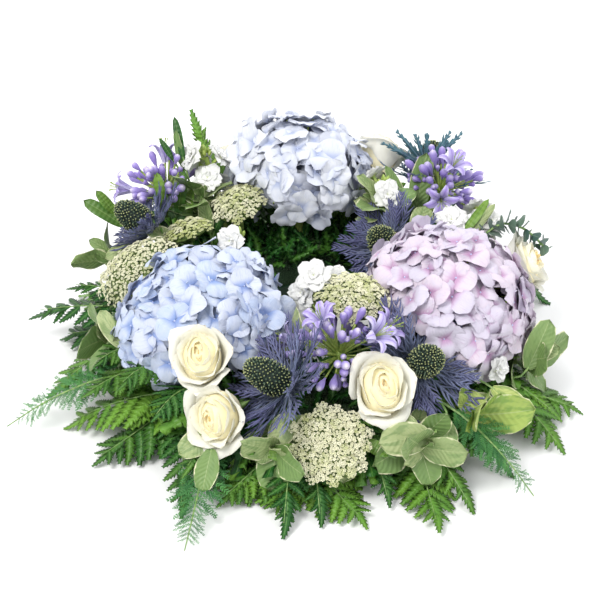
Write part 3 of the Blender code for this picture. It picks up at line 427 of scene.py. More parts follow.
class Copies:
    """Seats for copies of one or more kinds of patch, with a tint for each copy."""

    def __init__(self, *kinds):
        self.kinds = kinds
        self.seats, self.tints = [[] for _ in kinds], [[] for _ in kinds]

    def add(self, seat, tint, kind=0):
        self.seats[kind].append(seat)
        self.tints[kind].append(tint)

    def stamp(self, patches, slot=0):
        for (points, faces, spots), seats, tints in zip(self.kinds, self.seats, self.tints):
            if not seats:
                continue
            frames = np.array(seats, float)
            placed = np.einsum("mij,nj->mni", frames[:, :3, :3], points) + frames[:, None, :3, 3]
            many = np.repeat(spots[None], len(frames), 0)
            many[:, :, 2] += np.array(tints)[:, None]
            shifts = np.arange(len(frames))[:, None, None] * len(points)
            shifted = (faces[None] + shifts).reshape(-1, 3)
            patches.add(placed.reshape(-1, 3), shifted, many.reshape(-1, 3), slot)


def grid_faces(rows, columns, start=0):
    """The triangles of a grid of points, row by row."""
    a = (np.arange(rows - 1)[:, None] * columns + np.arange(columns - 1)[None]).ravel() + start
    d = a + columns
    return np.concatenate([np.stack([a, a + 1, d + 1], 1), np.stack([a, d + 1, d], 1)])


def sheet(grid, across, along, thickness):
    """A closed thin sheet from a grid of points: two faces that meet along its edge."""
    rows, columns = grid.shape[:2]
    normal = unit(np.cross(np.gradient(grid, axis=1), np.gradient(grid, axis=0)))
    inner = np.minimum(1, 4 * (1 - np.abs(across))) * np.minimum(1, 5 * (1 - along))
    offset = normal * thickness / 2 * np.clip(inner, 0.0, 1)[..., None]
    spots = np.stack([across, along, np.zeros_like(across)], -1).reshape(-1, 3)
    points = np.concatenate([(grid + offset).reshape(-1, 3), (grid - offset).reshape(-1, 3)])
    front, back = grid_faces(rows, columns), grid_faces(rows, columns, rows * columns)
    return points, np.concatenate([front, back[:, ::-1]]), np.concatenate([spots, spots])


def ring_patch(rings, across, along):
    """A patch from rings of points, with a share along for each ring."""
    points = rings.reshape(-1, 3)
    share = np.linspace(*along, len(rings))[:, None] * np.ones(rings.shape[1])
    spots = np.stack([across + 0 * share, share, 0 * share], -1).reshape(-1, 3)
    return points, with_area(points, grid_faces(*rings.shape[:2])), spots


def with_area(points, faces):
    """The triangles whose three corners are apart."""
    a, b, c = (points[faces[:, k]] for k in range(3))
    return faces[np.linalg.norm(np.cross(b - a, c - a), axis=1) > 1e-12]


def petal_grid(rows, columns):
    """Shares across, from -1 to 1, and along, from 0 to 1, for each point of a grid."""
    along, across = np.meshgrid(np.linspace(0, 1, rows), np.linspace(-1, 1, columns), indexing="ij")
    return across, along


def rod(path, radii, sides=5, along=(0.0, 1.0)):
    """A rod along a path, with a closed end at each side. A radius of 0 makes a point."""
    path = np.array(path, float)
    ahead = unit(np.gradient(path, axis=0))
    helper = np.array([0.0, 0.0, 1.0]) if abs(ahead[0][2]) < 0.9 else np.array([1.0, 0.0, 0.0])
    side = unit(np.cross(ahead, helper))
    up = np.cross(side, ahead)
    turn = np.linspace(0, 2 * math.pi, sides + 1)
    ring = np.cos(turn)[None, :, None] * side[:, None] + np.sin(turn)[None, :, None] * up[:, None]
    return ring_patch(path[:, None] + ring * np.array(radii)[:, None, None], 0.0, along)


def turned(profile, sides, along=(0.0, 1.0)):
    """A lathe shape about +Z from a profile of (radius, height)."""
    turn = np.linspace(0, 2 * math.pi, sides + 1)
    radius, height = np.array(profile).T
    x, y = radius[:, None] * np.cos(turn), radius[:, None] * np.sin(turn)
    return ring_patch(np.stack([x, y, height[:, None] * np.ones_like(x)], -1), 0.0, along)


def blade(rib, across, up, halves, thickness, along=(0.0, 1.0), sweep=0.0):
    """A blade with a ridge and a keel: its edge lies at each half width, moved forward by sweep."""
    rib, halves = np.array(rib, float), np.array(halves)[:, None]
    deep = np.minimum(halves, thickness) * up
    edge, forward = across * halves, unit(np.gradient(rib, axis=0)) * halves * sweep
    ring = [rib + deep, rib + edge + forward, rib - deep, rib - edge + forward, rib + deep]
    return ring_patch(np.stack(ring, 1), np.array([0.0, 1.0, 0.0, -1.0, 0.0]), along)


def leaflet(spine, lean, helper, half, thickness):
    """A small pointed blade along a spine of three points that lies across helper."""
    lean = lean.normalized()
    side = lean.cross(helper).normalized()
    return blade(spine, np.array(side), np.array(side.cross(lean)), [0.0, half, 0.0], thickness)


def joined(patches):
    """Several patches as one."""
    gathered = Patches()
    for patch in patches:
        gathered.add(*patch)
    return [np.concatenate(rows) for rows in (gathered.points, gathered.faces, gathered.spots)]


def moved(patch, matrix, tint=0.0):
    """A patch in another frame, with its tint raised."""
    points, faces, spots = patch
    m = np.array(matrix, float)
    return points @ m[:3, :3].T + m[:3, 3], faces, spots + np.array([0.0, 0.0, tint])


# Materials


class Surface:
    """A Principled material whose colour and bump are worked out by nodes."""

    def __init__(self, name, roughness, sheen=0.0, coat=0.0, specular=0.5, subsurface=0.0):
        self.material = bpy.data.materials.new(name)
        self.material.use_nodes = True
        self.tree = self.material.node_tree
        self.shader = self.tree.nodes["Principled BSDF"]
        self.shader.inputs["Roughness"].default_value = roughness
        self.shader.inputs["Sheen Weight"].default_value = sheen
        self.shader.inputs["Coat Weight"].default_value = coat
        self.shader.inputs["Coat Roughness"].default_value = 0.3
        self.shader.inputs["Specular IOR Level"].default_value = specular
        self.shader.inputs["Subsurface Weight"].default_value = subsurface
        self.shader.inputs["Subsurface Radius"].default_value = (0.6, 0.6, 0.6)
        self.shader.inputs["Subsurface Scale"].default_value = 0.004
        spot = self.node("ShaderNodeAttribute", attribute_name="spot")
        parts = self.node("ShaderNodeSeparateXYZ", Vector=spot.outputs["Vector"])
        self.across, self.along, self.tint = parts.outputs
        self.rim = self.maths("ABSOLUTE", self.across)

    def node(self, kind, **settings):
        made = self.tree.nodes.new(kind)
        for key, value in settings.items():
            if key in made.inputs:
                self.put(made.inputs[key], value)
            else:
                setattr(made, key, value)
        return made

    def put(self, socket, value):
        if isinstance(value, bpy.types.NodeSocket):
            self.tree.links.new(value, socket)
        else:
            socket.default_value = (*value, 1.0) if socket.type == "RGBA" else value

    def maths(self, operation, *values):
        made = self.node("ShaderNodeMath", operation=operation)
        for socket, value in zip(made.inputs, values):
            self.put(socket, value)
        return made.outputs[0]

    def times(self, first, second):
        return self.maths("MULTIPLY", first, second)

    def waves(self, value, count):
        return self.maths("SINE", self.times(value, count))

    def share(self, value, low, high, start=0.0, end=1.0):
        """value from low..high as a smooth share from start to end."""
        made = self.node("ShaderNodeMapRange", interpolation_type="SMOOTHSTEP", Value=value)
        for i, number in enumerate((low, high, start, end)):
            made.inputs[i + 1].default_value = number
        return made.outputs["Result"]

    def mix(self, share, first, second):
        made = self.node("ShaderNodeMix", data_type="RGBA")
        for i, value in ((0, share), (6, first), (7, second)):
            self.put(made.inputs[i], value)
        return made.outputs[2]

    def base(self, value, low, high, first, second):
        """The colour to begin with: first where value is low, second where it is high."""
        self.colour = self.mix(self.share(value, low, high), first, second)

    def cover(self, share, colour):
        """Lays a colour over what is there, by a share."""
        self.colour = self.mix(share, self.colour, colour)

    def layer(self, value, low, high, most, colour):
        """Lays a colour over what is there: none of it where value is low, most where it is high."""
        self.cover(self.share(value, low, high, 0.0, most), colour)

    def noise(self, place, scale, detail):
        made = self.node("ShaderNodeTexNoise", Vector=place, Scale=scale, Detail=detail)
        return made.outputs["Fac"]

    def streaks(self, across, along, detail):
        """Noise in the coordinates of the petal itself, so that it runs along it as veins do."""
        x, y = self.times(self.across, across), self.times(self.along, along)
        place = self.node("ShaderNodeCombineXYZ", X=x, Y=y, Z=self.times(self.tint, 37.0))
        return self.noise(place.outputs[0], 1.0, detail)

    def speckle(self, scale, detail=2.0):
        """Noise in space, in metres."""
        return self.noise(self.node("ShaderNodeTexCoord").outputs["Object"], scale, detail)

    def finish(self, height=None, distance=0.0, strength=0.5):
        """The material, with its colour and, if a height is given, a bump."""
        self.put(self.shader.inputs["Base Color"], self.colour)
        if height is not None:
            made = self.node("ShaderNodeBump", Strength=strength, Distance=distance, Height=height)
            self.put(self.shader.inputs["Normal"], made.outputs[0])
        return self.material


def hydrangea_petal(name, light, deep, accent):
    """Thin petals with fine veins, deeper towards the eye and below: the deep colour is painted
    shade, and the veins' folds take some of it. The tint varies by flower.
    """
    s = Surface(name, 0.62, sheen=0.08, specular=0.22, subsurface=0.12)
    veins_and_fold_shade = s.streaks(11, 2.2, 3)
    s.base(s.tint, 0.15, 0.95, light, accent)
    s.layer(s.streaks(1.6, 2.4, 1), 0.35, 0.70, 0.6, accent)
    # Painted shade: the deep colour towards each petal's foot, round the eye.
    s.layer(s.along, 0.44, 0.02, 0.72, deep)
    # Painted shade in the folds along the veins.
    s.layer(veins_and_fold_shade, 0.52, 0.74, 0.22, deep)
    return s.finish(veins_and_fold_shade, 0.0008, 0.7)


def flower_eye(name, colour, dark):
    """A floret's bead, darker at its foot."""
    s = Surface(name, 0.55)
    s.base(s.along, 0.0, 1.0, dark, colour)
    return s.finish(s.speckle(1600), 0.0002)


def rose_petal_look():
    """Cream petals, golden in the heart, greenish at the foot, with a few browned spots."""
    s = Surface("rose_petal", 0.52, sheen=0.10, specular=0.30, subsurface=0.30)
    veins_and_fold_shade = s.streaks(9, 1.2, 3)
    s.base(s.tint, 0.12, 0.42, (0.90, 0.70, 0.27), (0.87, 0.85, 0.67))
    s.layer(s.tint, 0.32, 0.80, 1.0, (0.81, 0.80, 0.71))
    s.layer(s.along, 0.35, 0.0, 0.5, (0.66, 0.68, 0.38))
    # Painted shade: darker streaks in the folds along the veins.
    s.layer(veins_and_fold_shade, 0.50, 0.75, 0.15, (0.78, 0.73, 0.50))
    worn = s.times(s.share(s.along, 0.90, 0.98), s.share(s.speckle(330), 0.55, 0.62))
    s.cover(s.times(worn, s.share(s.tint, 0.45, 0.10, 0.25, 0.95)), (0.42, 0.17, 0.03))
    return s.finish(veins_and_fold_shade, 0.0005, 0.35)


def green_look(name, light, dark):
    """Stems and plain green parts, with a mottle."""
    s = Surface(name, 0.5)
    mottle = s.speckle(300)
    s.base(mottle, 0.35, 0.7, dark, light)
    s.layer(s.tint, 0.2, 1.0, 0.5, light)
    return s.finish(mottle, 0.0003, 0.4)


def bract_look(name, base, tip):
    """Dull spiny bracts, another colour towards their tips, with a pale rib."""
    s = Surface(name, 0.50, sheen=0.15, specular=0.35)
    s.base(s.along, 0.05, 0.85, base, tip)
    s.layer(s.tint, 0.45, 1.05, 0.6, (0.22, 0.27, 0.44))
    s.layer(s.rim, 0.30, 0.0, 0.35, (0.34, 0.38, 0.54))
    s.layer(s.speckle(240), 0.48, 0.72, 0.5, (0.030, 0.035, 0.10))
    return s.finish(s.streaks(4, 9, 2), 0.0004)


def cone_look():
    """A dark blue-green cone whose points are yellow-green."""
    s = Surface("thistle_cone_green", 0.6)
    s.base(s.along, 0.58, 0.95, (0.018, 0.036, 0.026), (0.58, 0.62, 0.26))
    s.layer(s.tint, 0.4, 0.9, 0.80, (0.05, 0.09, 0.06))
    return s.finish(s.speckle(900), 0.0003)


def agapanthus_look():
    """Lilac petals with a dark middle line and pale sides. On buds, along runs from 1 to 2."""
    s = Surface("agapanthus_violet", 0.42, sheen=0.12, specular=0.4, subsurface=0.08)
    s.base(s.along, 0.0, 0.75, (0.52, 0.48, 0.72), (0.34, 0.26, 0.60))
    s.layer(s.tint, 0.3, 1.0, 0.8, (0.52, 0.47, 0.76))
    s.layer(s.rim, 0.35, 0.9, 0.50, (0.66, 0.64, 0.86))
    s.layer(s.rim, 0.26, 0.0, 0.65, (0.20, 0.13, 0.46))
    fresh = s.share(s.tint, 0.0, 0.5, 0.25, 1.0)
    s.cover(s.times(fresh, s.share(s.along, 1.00, 1.10, 0.0, 0.5)), (0.39, 0.33, 0.67))
    s.cover(s.times(fresh, s.share(s.along, 1.72, 1.96, 0.0, 0.9)), (0.72, 0.66, 0.80))
    return s.finish(s.streaks(8, 2, 2), 0.0004, 0.4)


def stock_look():
    """White petals, greenish at the foot, with grey in the folds along the veins: painted shade."""
    s = Surface("stock_white", 0.55, sheen=0.15, specular=0.3, subsurface=0.2)
    veins_and_fold_shade = s.streaks(8, 1.4, 3)
    s.colour = (0.80, 0.80, 0.78)
    s.layer(s.along, 0.35, 0.0, 0.9, (0.58, 0.66, 0.26))
    # Painted shade: grey in the folds along the veins, which also give the bump.
    s.layer(veins_and_fold_shade, 0.5, 0.75, 0.5, (0.62, 0.65, 0.66))
    return s.finish(veins_and_fold_shade, 0.0006)


def umbel_look():
    """Tiny cream flowers whose tint makes some of them yellow-green."""
    s = Surface("umbel_cream", 0.7, sheen=0.1)
    s.base(s.tint, 0.35, 1.25, (0.88, 0.86, 0.64), (0.52, 0.57, 0.20))
    s.layer(s.along, 0.30, 0.0, 0.85, (0.36, 0.42, 0.12))
    return s.finish(s.speckle(1500), 0.0002, 0.4)


def leaf_look(name, dark, light, patch):
    """Leaves with darker patches, an uneven cream margin, a pale rib and side veins."""
    s = Surface(name, 0.45, coat=0.05, specular=0.30)
    s.base(s.tint, 0.1, 0.9, dark, light)
    s.layer(s.streaks(3, 3, 3), 0.45, 0.62, 0.6, patch)
    edge = s.maths("ADD", s.rim, s.times(s.streaks(2.2, 5, 3), 0.5))
    s.layer(edge, 1.16, 1.26, 1.0, (0.68, 0.68, 0.44))
    s.layer(s.rim, 0.05, 0.0, 0.45, (0.46, 0.52, 0.27))
    slant = s.maths("ADD", s.times(s.along, 60.0), s.times(s.rim, -14.0))
    return s.finish(s.maths("SINE", slant), 0.0005, 0.35)


def plain_leaf_look():
    """Plain green leaves, some fresh and some dark, with a pale rib."""
    s = Surface("leaf_green", 0.42, coat=0.05, specular=0.30)
    s.base(s.tint, 0.0, 1.0, (0.022, 0.085, 0.018), (0.17, 0.30, 0.045))
    s.layer(s.streaks(3, 3, 3), 0.45, 0.65, 0.5, (0.045, 0.15, 0.025))
    s.layer(s.rim, 0.08, 0.0, 0.5, (0.30, 0.42, 0.14))
    return s.finish(s.waves(s.along, 60.0), 0.0004, 0.35)


def fern_look():
    """Deep green leaflets, fresher on some fronds, with a pale rib and fine side veins."""
    s = Surface("fern_green", 0.42, coat=0.05, specular=0.30)
    s.base(s.tint, 0.1, 1.0, (0.014, 0.085, 0.012), (0.150, 0.320, 0.035))
    s.layer(s.speckle(26), 0.4, 0.7, 0.5, (0.030, 0.150, 0.024))
    s.layer(s.rim, 0.15, 0.0, 0.40, (0.18, 0.36, 0.07))
    return s.finish(s.waves(s.along, 70.0), 0.0003, 0.4)


def needle_look():
    """Fine green needles, lighter at their tips."""
    s = Surface("asparagus_green", 0.5)
    s.base(s.tint, 0.0, 1.0, (0.022, 0.14, 0.035), (0.08, 0.28, 0.065))
    s.layer(s.along, 0.5, 1.0, 0.4, (0.16, 0.40, 0.12))
    return s.finish(s.speckle(700), 0.0002, 0.3)


def eucalyptus_look():
    """Blue-green leaves with a pale rib."""
    s = Surface("eucalyptus_blue_green", 0.5, sheen=0.15)
    s.base(s.tint, 0.0, 1.0, (0.035, 0.085, 0.070), (0.10, 0.17, 0.12))
    s.layer(s.rim, 0.12, 0.0, 0.5, (0.20, 0.28, 0.20))
    return s.finish(s.streaks(5, 6, 2), 0.0003, 0.4)


def moss_look():
    """Dark moss, lighter at its tips."""
    s = Surface("moss_green", 0.85, sheen=0.2)
    s.base(s.speckle(60), 0.3, 0.7, (0.018, 0.055, 0.014), (0.055, 0.12, 0.028))
    s.layer(s.along, 0.4, 1.0, 0.5, (0.10, 0.19, 0.05))
    return s.finish(s.speckle(1200), 0.0003)


def foam_look():
    """Wet floral foam: fine open grain."""
    s = Surface("wet_foam", 0.9)
    grain = s.speckle(900, 4)
    s.base(grain, 0.35, 0.65, (0.020, 0.050, 0.020), (0.050, 0.105, 0.045))
    return s.finish(grain, 0.0008, 0.8)


def tray_look():
    """Moulded dark green plastic with a fine grain and scuffs."""
    s = Surface("tray_plastic", 0.42)
    scuffs = s.share(s.speckle(35), 0.55, 0.75)
    s.colour = s.mix(s.times(scuffs, 0.4), (0.012, 0.050, 0.022), (0.040, 0.085, 0.050))
    s.put(s.shader.inputs["Roughness"], s.share(scuffs, 0.0, 1.0, 0.38, 0.62))
    return s.finish(s.speckle(700, 3), 0.0002, 0.35)


LOOKS = {
    # For each hydrangea: its light colour, its deep colour, which is painted shade, and its accent.
    "hydrangea_blue": hydrangea_petal(
        "petal_blue", (0.45, 0.53, 0.70), (0.10, 0.20, 0.54), (0.57, 0.61, 0.73)
    ),
    "hydrangea_pale": hydrangea_petal(
        "petal_pale", (0.73, 0.75, 0.80), (0.30, 0.37, 0.60), (0.63, 0.66, 0.76)
    ),
    "hydrangea_pink": hydrangea_petal(
        "petal_pink", (0.65, 0.56, 0.65), (0.43, 0.18, 0.39), (0.58, 0.54, 0.65)
    ),
    "eye": flower_eye("floret_eye", (0.56, 0.62, 0.84), (0.30, 0.36, 0.62)),
    "rose": rose_petal_look(),
    "stem": green_look("stem_green", (0.27, 0.40, 0.13), (0.12, 0.24, 0.06)),
    "pedicel": green_look("pedicel_green", (0.46, 0.56, 0.14), (0.26, 0.38, 0.08)),
    # The cup's dark green is partly its own and partly painted shade, which shows between the umbels'
    # flower clusters.
    "cup": green_look("umbel_cup_green", (0.20, 0.28, 0.07), (0.07, 0.12, 0.025)),
    "bract": bract_look("thistle_bract_blue", (0.060, 0.085, 0.13), (0.105, 0.108, 0.25)),
    "teal_bract": bract_look("thistle_bract_teal", (0.030, 0.095, 0.105), (0.050, 0.160, 0.190)),
    "cone": cone_look(),
    "agapanthus": agapanthus_look(),
    "stock": stock_look(),
    "umbel": umbel_look(),
    "leaf": leaf_look("leaf_variegated", (0.16, 0.26, 0.08), (0.36, 0.42, 0.20), (0.13, 0.22, 0.07)),
    "lime_leaf": leaf_look("leaf_lime", (0.24, 0.36, 0.06), (0.48, 0.54, 0.18), (0.10, 0.22, 0.04)),
    "plain_leaf": plain_leaf_look(),
    "fern": fern_look(),
    "needle": needle_look(),
    "eucalyptus": eucalyptus_look(),
    "moss": moss_look(),
    "foam": foam_look(),
    "tray": tray_look(),
}


# Stems


def stem_path(root, base, axis):
    """From a root straight up out of the foam, then in an arch to a bloom's base."""
    leave = root + Vector((0, 0, 0.018))
    middle = leave.lerp(base - axis * (base - leave).length * 0.45, 0.6)
    return [root, *bezier(leave, middle, base + axis * 0.002, 7)]


def stem(patches, name, base, axis, radius, slot=1):
    """A stem from its root in the foam, as the frame has it, to the base of a bloom."""
    path = stem_path(stem_root(name), base, axis)
    patches.add(*rod(path, [radius] * len(path), 8), slot)


# Hydrangeas


def broad_petal(draw, length, width, rows, columns):
    """A broad, blunt petal along +X with a narrow foot, a crease, and a rim that waves and curls."""
    across, along = petal_grid(rows, columns)
    outline = np.sin((0.04 + 0.80 * along**0.8) * math.pi) ** 0.60
    outline *= 1 + 0.06 * np.sin(along * 7 + draw.uniform(0, 6)) * np.abs(across)
    reach = length * (1 - 0.22 * across**2 * along**2 - 0.05 * np.cos(across * 3.0) * along)
    cup, curl, arch = draw.uniform(-0.04, 0.20), draw.uniform(-0.22, 0.26), draw.uniform(-0.26, 0.16)
    wave = np.sin(across * draw.uniform(3.0, 5.5) + draw.uniform(0, 6)) * 0.065 * along**1.6
    z = cup * np.sin(along * math.pi) - curl * along**2.5 + arch * across**2 * along + wave
    z = z - 0.025 * np.exp(-((across / 0.16) ** 2)) * along
    x, y = reach * along**0.95, width * across * outline
    return sheet(np.stack([x, y, z], -1), across, along, 0.020)


def hydrangea_floret(draw, rows, columns):
    """Four overlapping petals, a pair of them above the other."""
    shapes = []
    for k in range(4):
        size = draw.uniform(0.88, 1.12)
        petal = broad_petal(draw, size, draw.uniform(0.54, 0.66) * size, rows, columns)
        turn = spun(k * math.pi / 2 + draw.uniform(-0.15, 0.15))
        lean = spun(draw.uniform(-0.34, 0.16), "Y")
        lift = Matrix.Translation((0.02, 0, 0.035 * (k % 2)))
        shapes.append(moved(petal, turn @ lean @ lift))
    return joined(shapes)


def clear_of(points, faces, trees):
    """Whether a rough shape crosses none of the neighbours."""
    own = BVHTree.FromPolygons(points, faces)
    return not any(own.overlap(tree) for tree in trees)


def pierces(path, trees):
    """Whether a path runs into one of the trees."""
    steps = list(zip(path, path[1:]))
    return any(tree.ray_cast(a, b - a, (b - a).length + 0.003)[0] for a, b in steps for tree in trees)


def neighbours(name, place, reach):
    """Trees of the other nodes whose boxes come within reach of a place."""
    found = []
    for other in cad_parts:
        low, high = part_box(other)
        near = [max(low[i] - MIDDLE[i], min(place[i], high[i] - MIDDLE[i])) for i in range(3)]
        if other != name and (Vector(near) - place).length < reach:
            found.append(node_tree(other))
    return found


def hydrangea(name, place, axis, spread, half_height, count):
    """A dense head: florets over a dome at uneven depths, and a layer of them below that."""
    draw, at, patches = random.Random(name), facing(place, axis), Patches()
    trees = neighbours(name, place, spread + 0.01)
    kinds = [hydrangea_floret(draw, 6, 7) for _ in range(UPPER_KINDS)]
    plain = random.Random(name + "lower")
    kinds += [hydrangea_floret(plain, 5, 5) for _ in range(LOWER_KINDS)]
    florets, stalks = Copies(*kinds), []
    eyes = Copies(turned([(0, -0.05), (0.058, 0.0), (0.048, 0.070), (0, 0.09)], 6))
    disc = [polar(1, k * math.pi / 3) for k in range(6)]
    under = count // 2
    for i in range(count + under):
        lower = i >= count
        share = (i - count + 0.5) / under if lower else (i + 0.5) / count
        fall = math.acos(1 - FLORET_COVER * share) + draw.uniform(-0.05, 0.05)
        bearing = i * GOLDEN + draw.uniform(-0.15, 0.15)
        spot = polar(math.sin(fall) * spread, bearing, math.cos(fall) * half_height)
        out = Vector((spot.x / spread**2, spot.y / spread**2, spot.z / half_height**2)).normalized()
        loose = 0.34 if lower else 0.26
        lean = (out + Vector([draw.gauss(0, loose) for _ in range(3)])).normalized()
        deep = 0.012 if lower else draw.uniform(0.0015, 0.0085)
        for sink, shrink in ((0, 1), (0.004, 1), (0.007, 0.85), (0.010, 0.7), (0.014, 0.55)):
            size = FLORET_RADIUS * shrink * draw.uniform(0.88, 1.10)
            seat = at @ facing(spot - out * (deep + sink), lean, draw.uniform(0, 6)) @ sized(size)
            if clear_of([seat @ p for p in disc], [(0, 1, 2, 3, 4, 5)], trees):
                k = draw.randrange(UPPER_KINDS)
                florets.add(seat, draw.random(), UPPER_KINDS + k % LOWER_KINDS if lower else k)
                eyes.add(seat, 0.5)
                foot, top = at @ (spot * 0.45), seat.translation
                stalks.append(rod([foot, foot.lerp(top, 0.6), top], [0.0009, 0.0008, 0.0008], 4))
                break
    florets.stamp(patches)
    eyes.stamp(patches, 2)
    stem(patches, name, place - axis * half_height * 0.3, axis, 0.0040)
    # The heart under the florets takes the petals' deep colour: a dark body that paints the shade in
    # the gaps between them.
    profile = [(0, -0.50), (0.45, -0.36), (0.62, -0.05), (0.55, 0.35), (0.3, 0.56), (0, 0.62)]
    heart = turned(profile, 16, (0, 0.05))
    patches.add(*moved(heart, at @ Matrix.Diagonal((spread, spread, half_height, 1))))
    for stalk in stalks:
        patches.add(*stalk, 1)
    patches.build(name + "_head", (name, "pedicel", "eye"), name, [name])


# Roses


def rose_petal(draw, bearing, opening, height, scale):
    """A petal that wraps the heart. opening runs from 0, tightly rolled, to 1, spread wide."""
    across, along = petal_grid(13, 13)
    base, belly = 0.0045 + 0.0035 * opening, 0.0052 + 0.0180 * opening
    lip = 0.0018 + 0.0235 * opening**1.15
    rise = along**0.9
    radius = base + (belly - base) * np.sin(np.clip(rise * 1.15, 0, 1) * math.pi / 2)
    radius = radius + (lip - belly) * np.clip(rise - 0.45, 0, 1) ** 1.5 * 2.4
    radius = radius * (1 - (0.13 - 0.08 * opening) * across**2) + 0.0007 * across
    roll = max(0.0, opening - 0.30) * np.clip(along - 0.76, 0, 1) * 4.6
    roll = roll * (1 - 0.25 * across**2) * draw.uniform(0.6, 1.4)
    width = np.sin(np.clip(0.22 + along * 0.78, 0, 1) * math.pi * 0.60) ** 0.7
    turn = bearing + across * (1.50 - 0.45 * opening) * width
    crease = 0.0005 * opening * np.sin(across * 11 + along * 4 + draw.uniform(0, 6)) * along**2
    tip = opening * np.exp(-((across / 0.26) ** 2)) * along**3
    top = height * (1 - 0.07 * across**2 * along - 0.08 * across**4)
    ripple = 0.0011 * opening * np.sin(across * 5 + draw.uniform(0, 6)) * along**3
    z = top * rise - 0.0075 * roll**1.5 + 0.0012 * tip
    fold = radius + 0.0064 * roll + ripple + crease + 0.0042 * tip
    oval = 0.50 * max(0.0, 1 - opening / 0.75)
    x, y = fold * np.cos(turn) * (1 - oval), fold * np.sin(turn) * (1 + oval * 0.40)
    return sheet(np.stack([x, y, z], -1) * scale, across, along, 0.0006)


def rose(name, place, axis, radius):
    """A half-open rose: a long rolled heart and petals that open wider in a spiral."""
    draw, scale, patches = random.Random(name), radius / ROSE_RADIUS, Patches()
    upright = Vector((0, math.cos(CAMERA_ELEVATION + 0.3), math.sin(CAMERA_ELEVATION + 0.3)))
    at = frame_from(place - axis * ROSE_HEIGHT * 0.5 * scale, upright.cross(axis), axis)
    at = at @ Matrix.Diagonal((0.94, 1.03, 1, 1)) @ spun(draw.uniform(-0.35, 0.35))
    for i in range(ROSE_PETALS):
        opening = (i / (ROSE_PETALS - 1)) ** 0.85
        height = ROSE_HEIGHT - 0.0065 * opening**1.5 + draw.uniform(-0.0012, 0.0012)
        petal = rose_petal(draw, i * GOLDEN + draw.uniform(-0.25, 0.25), opening, height, scale)
        aside, up = draw.uniform(-0.0008, 0.0008), (0.0015 - 0.0020 * opening) * scale
        tint = 0.10 + 0.85 * opening + draw.uniform(-0.06, 0.06)
        patches.add(*moved(petal, at @ Matrix.Translation((aside, 0, up)), tint))
    profile = ((0, 0.0415), (0.0030, 0.0412), (0.0080, 0.0390), (0.0130, 0.0360), (0.0175, 0.0315),
               (0.0205, 0.0240), (0.0165, 0.0060))
    heart = turned([(r * scale, z * scale) for r, z in profile], 24, (0.75, 0.5))
    patches.add(*moved(heart, at @ Matrix.Diagonal((0.86, 1.04, 1, 1)), 0.30))
    patches.build(name + "_petals", ("rose",), "rose_petals", [name])


def rose_stem(name, place, axis, radius):
    """Five arched sepals with fine tips, a swollen hip and a stem."""
    draw, scale, patches = random.Random(name + "sepal"), radius / ROSE_RADIUS, Patches()
    base = place - axis * ROSE_HEIGHT * 0.5 * scale
    at = facing(base, axis, base.x * 40)
    hip = [(0, -0.013), (0.0034, -0.012), (0.0062, -0.007), (0.0066, -0.003), (0.0052, 0), (0, 0)]
    patches.add(*moved(turned(hip, 14), at @ sized(scale)))
    for k in range(5):
        bend, t = draw.uniform(0.0, 0.4), np.linspace(0, 1, 9)
        rib = np.stack([0.004 + 0.0135 * t, 0 * t, -0.0022 - 0.0030 * t - bend * 0.006 * t**2], -1)
        halves = 0.0036 * np.sin(np.clip(t * 0.86 + 0.14, 0, 1) * math.pi) ** 0.8 * (1 - 0.5 * t)
        seat = at @ spun(k * math.tau / 5) @ sized(scale)
        patches.add(*moved(blade(rib, SIDEWAYS, UPWARD, halves, 0.0005), seat, draw.random()))
    stem(patches, name + "_stem", base - axis * 0.010, axis, 0.0028, 0)
    patches.build(name + "_calyx", ("stem",), "green_stem", [name + "_stem"])


# Thistles


def spiny_bract(draw, path, across, reach, pairs, body=0.0024):
    """A slender bract whose fine spiny side lobes point forwards."""
    steps = np.linspace(0, 1, 10)
    rib = np.array([along_path(path, t) for t in steps])
    ahead = unit(np.gradient(rib, axis=0))
    side = unit(np.array(across) - ahead * (ahead @ np.array(across))[:, None])
    up = np.cross(ahead, side)
    shapes = [blade(rib, side, up, body * (1 - steps) ** 0.8 + 0.00012, 0.0007)]
    for k in range(pairs):
        t = 0.06 + 0.86 * k / (pairs - 1)
        i = min(int(t * 9), 8)
        root = np.array(along_path(path, t))
        for way in (1, -1):
            length = reach * 0.36 * math.sin(math.pi * (0.24 + 0.70 * t)) * draw.uniform(0.65, 1.2)
            lean = side[i] * way * draw.uniform(0.42, 0.70) + ahead[i]
            lean = lean + up[i] * draw.uniform(-0.15, 0.40)
            lean, bend = unit(lean), unit(lean + ahead[i] * 0.8)
            knee = root + lean * length * 0.5
            spine = [root, knee, knee + bend * length * 0.5]
            wide, run = unit(np.cross(up[i], lean)), (t, min(1.0, t + 0.35))
            shapes.append(blade(spine, wide, up[i], [0.0012, 0.0010, 0.0], 0.0004, run))
    return joined(shapes)


def bract_paths(name, place, axis, bract):
    """The frame's bracts, each with the lift, length and turn that its solid has."""
    at, tree = facing(place, axis), node_tree(name)
    lifts, turns = (0, 0.2, -0.2, 0.4), (0, 0.25, -0.25)
    options = [(lift, s, turn) for s in (1, 0.8) for lift in lifts for turn in turns]
    options += [(lift, s, 0) for s in (0.6, 0.45) for lift in (0, 0.4, 0.8)]
    for whorl, (count, share, rise) in enumerate(BRACT_WHORLS):
        for k in range(count):
            bearing = 2 * math.pi * (k + 0.5 * whorl) / count

            def path_of(lift, shorter, turn):
                way, tilt, reach = bearing + turn, rise + lift, bract * share * shorter
                start = polar(0.0070, way, -0.0054 + 0.0018 * whorl)
                middle = start + polar(math.cos(tilt), way, math.sin(tilt)) * reach * 0.55
                end = middle + polar(math.cos(tilt + 0.4), way, math.sin(tilt + 0.4)) * reach * 0.45
                return [at @ p for p in (start, middle, end)]

            best = closest(tree, lambda *o: path_of(*o)[1:], options, SEAT_GAP)
            if best:
                yield bearing + best[2], path_of(*best), bract * share * best[1]


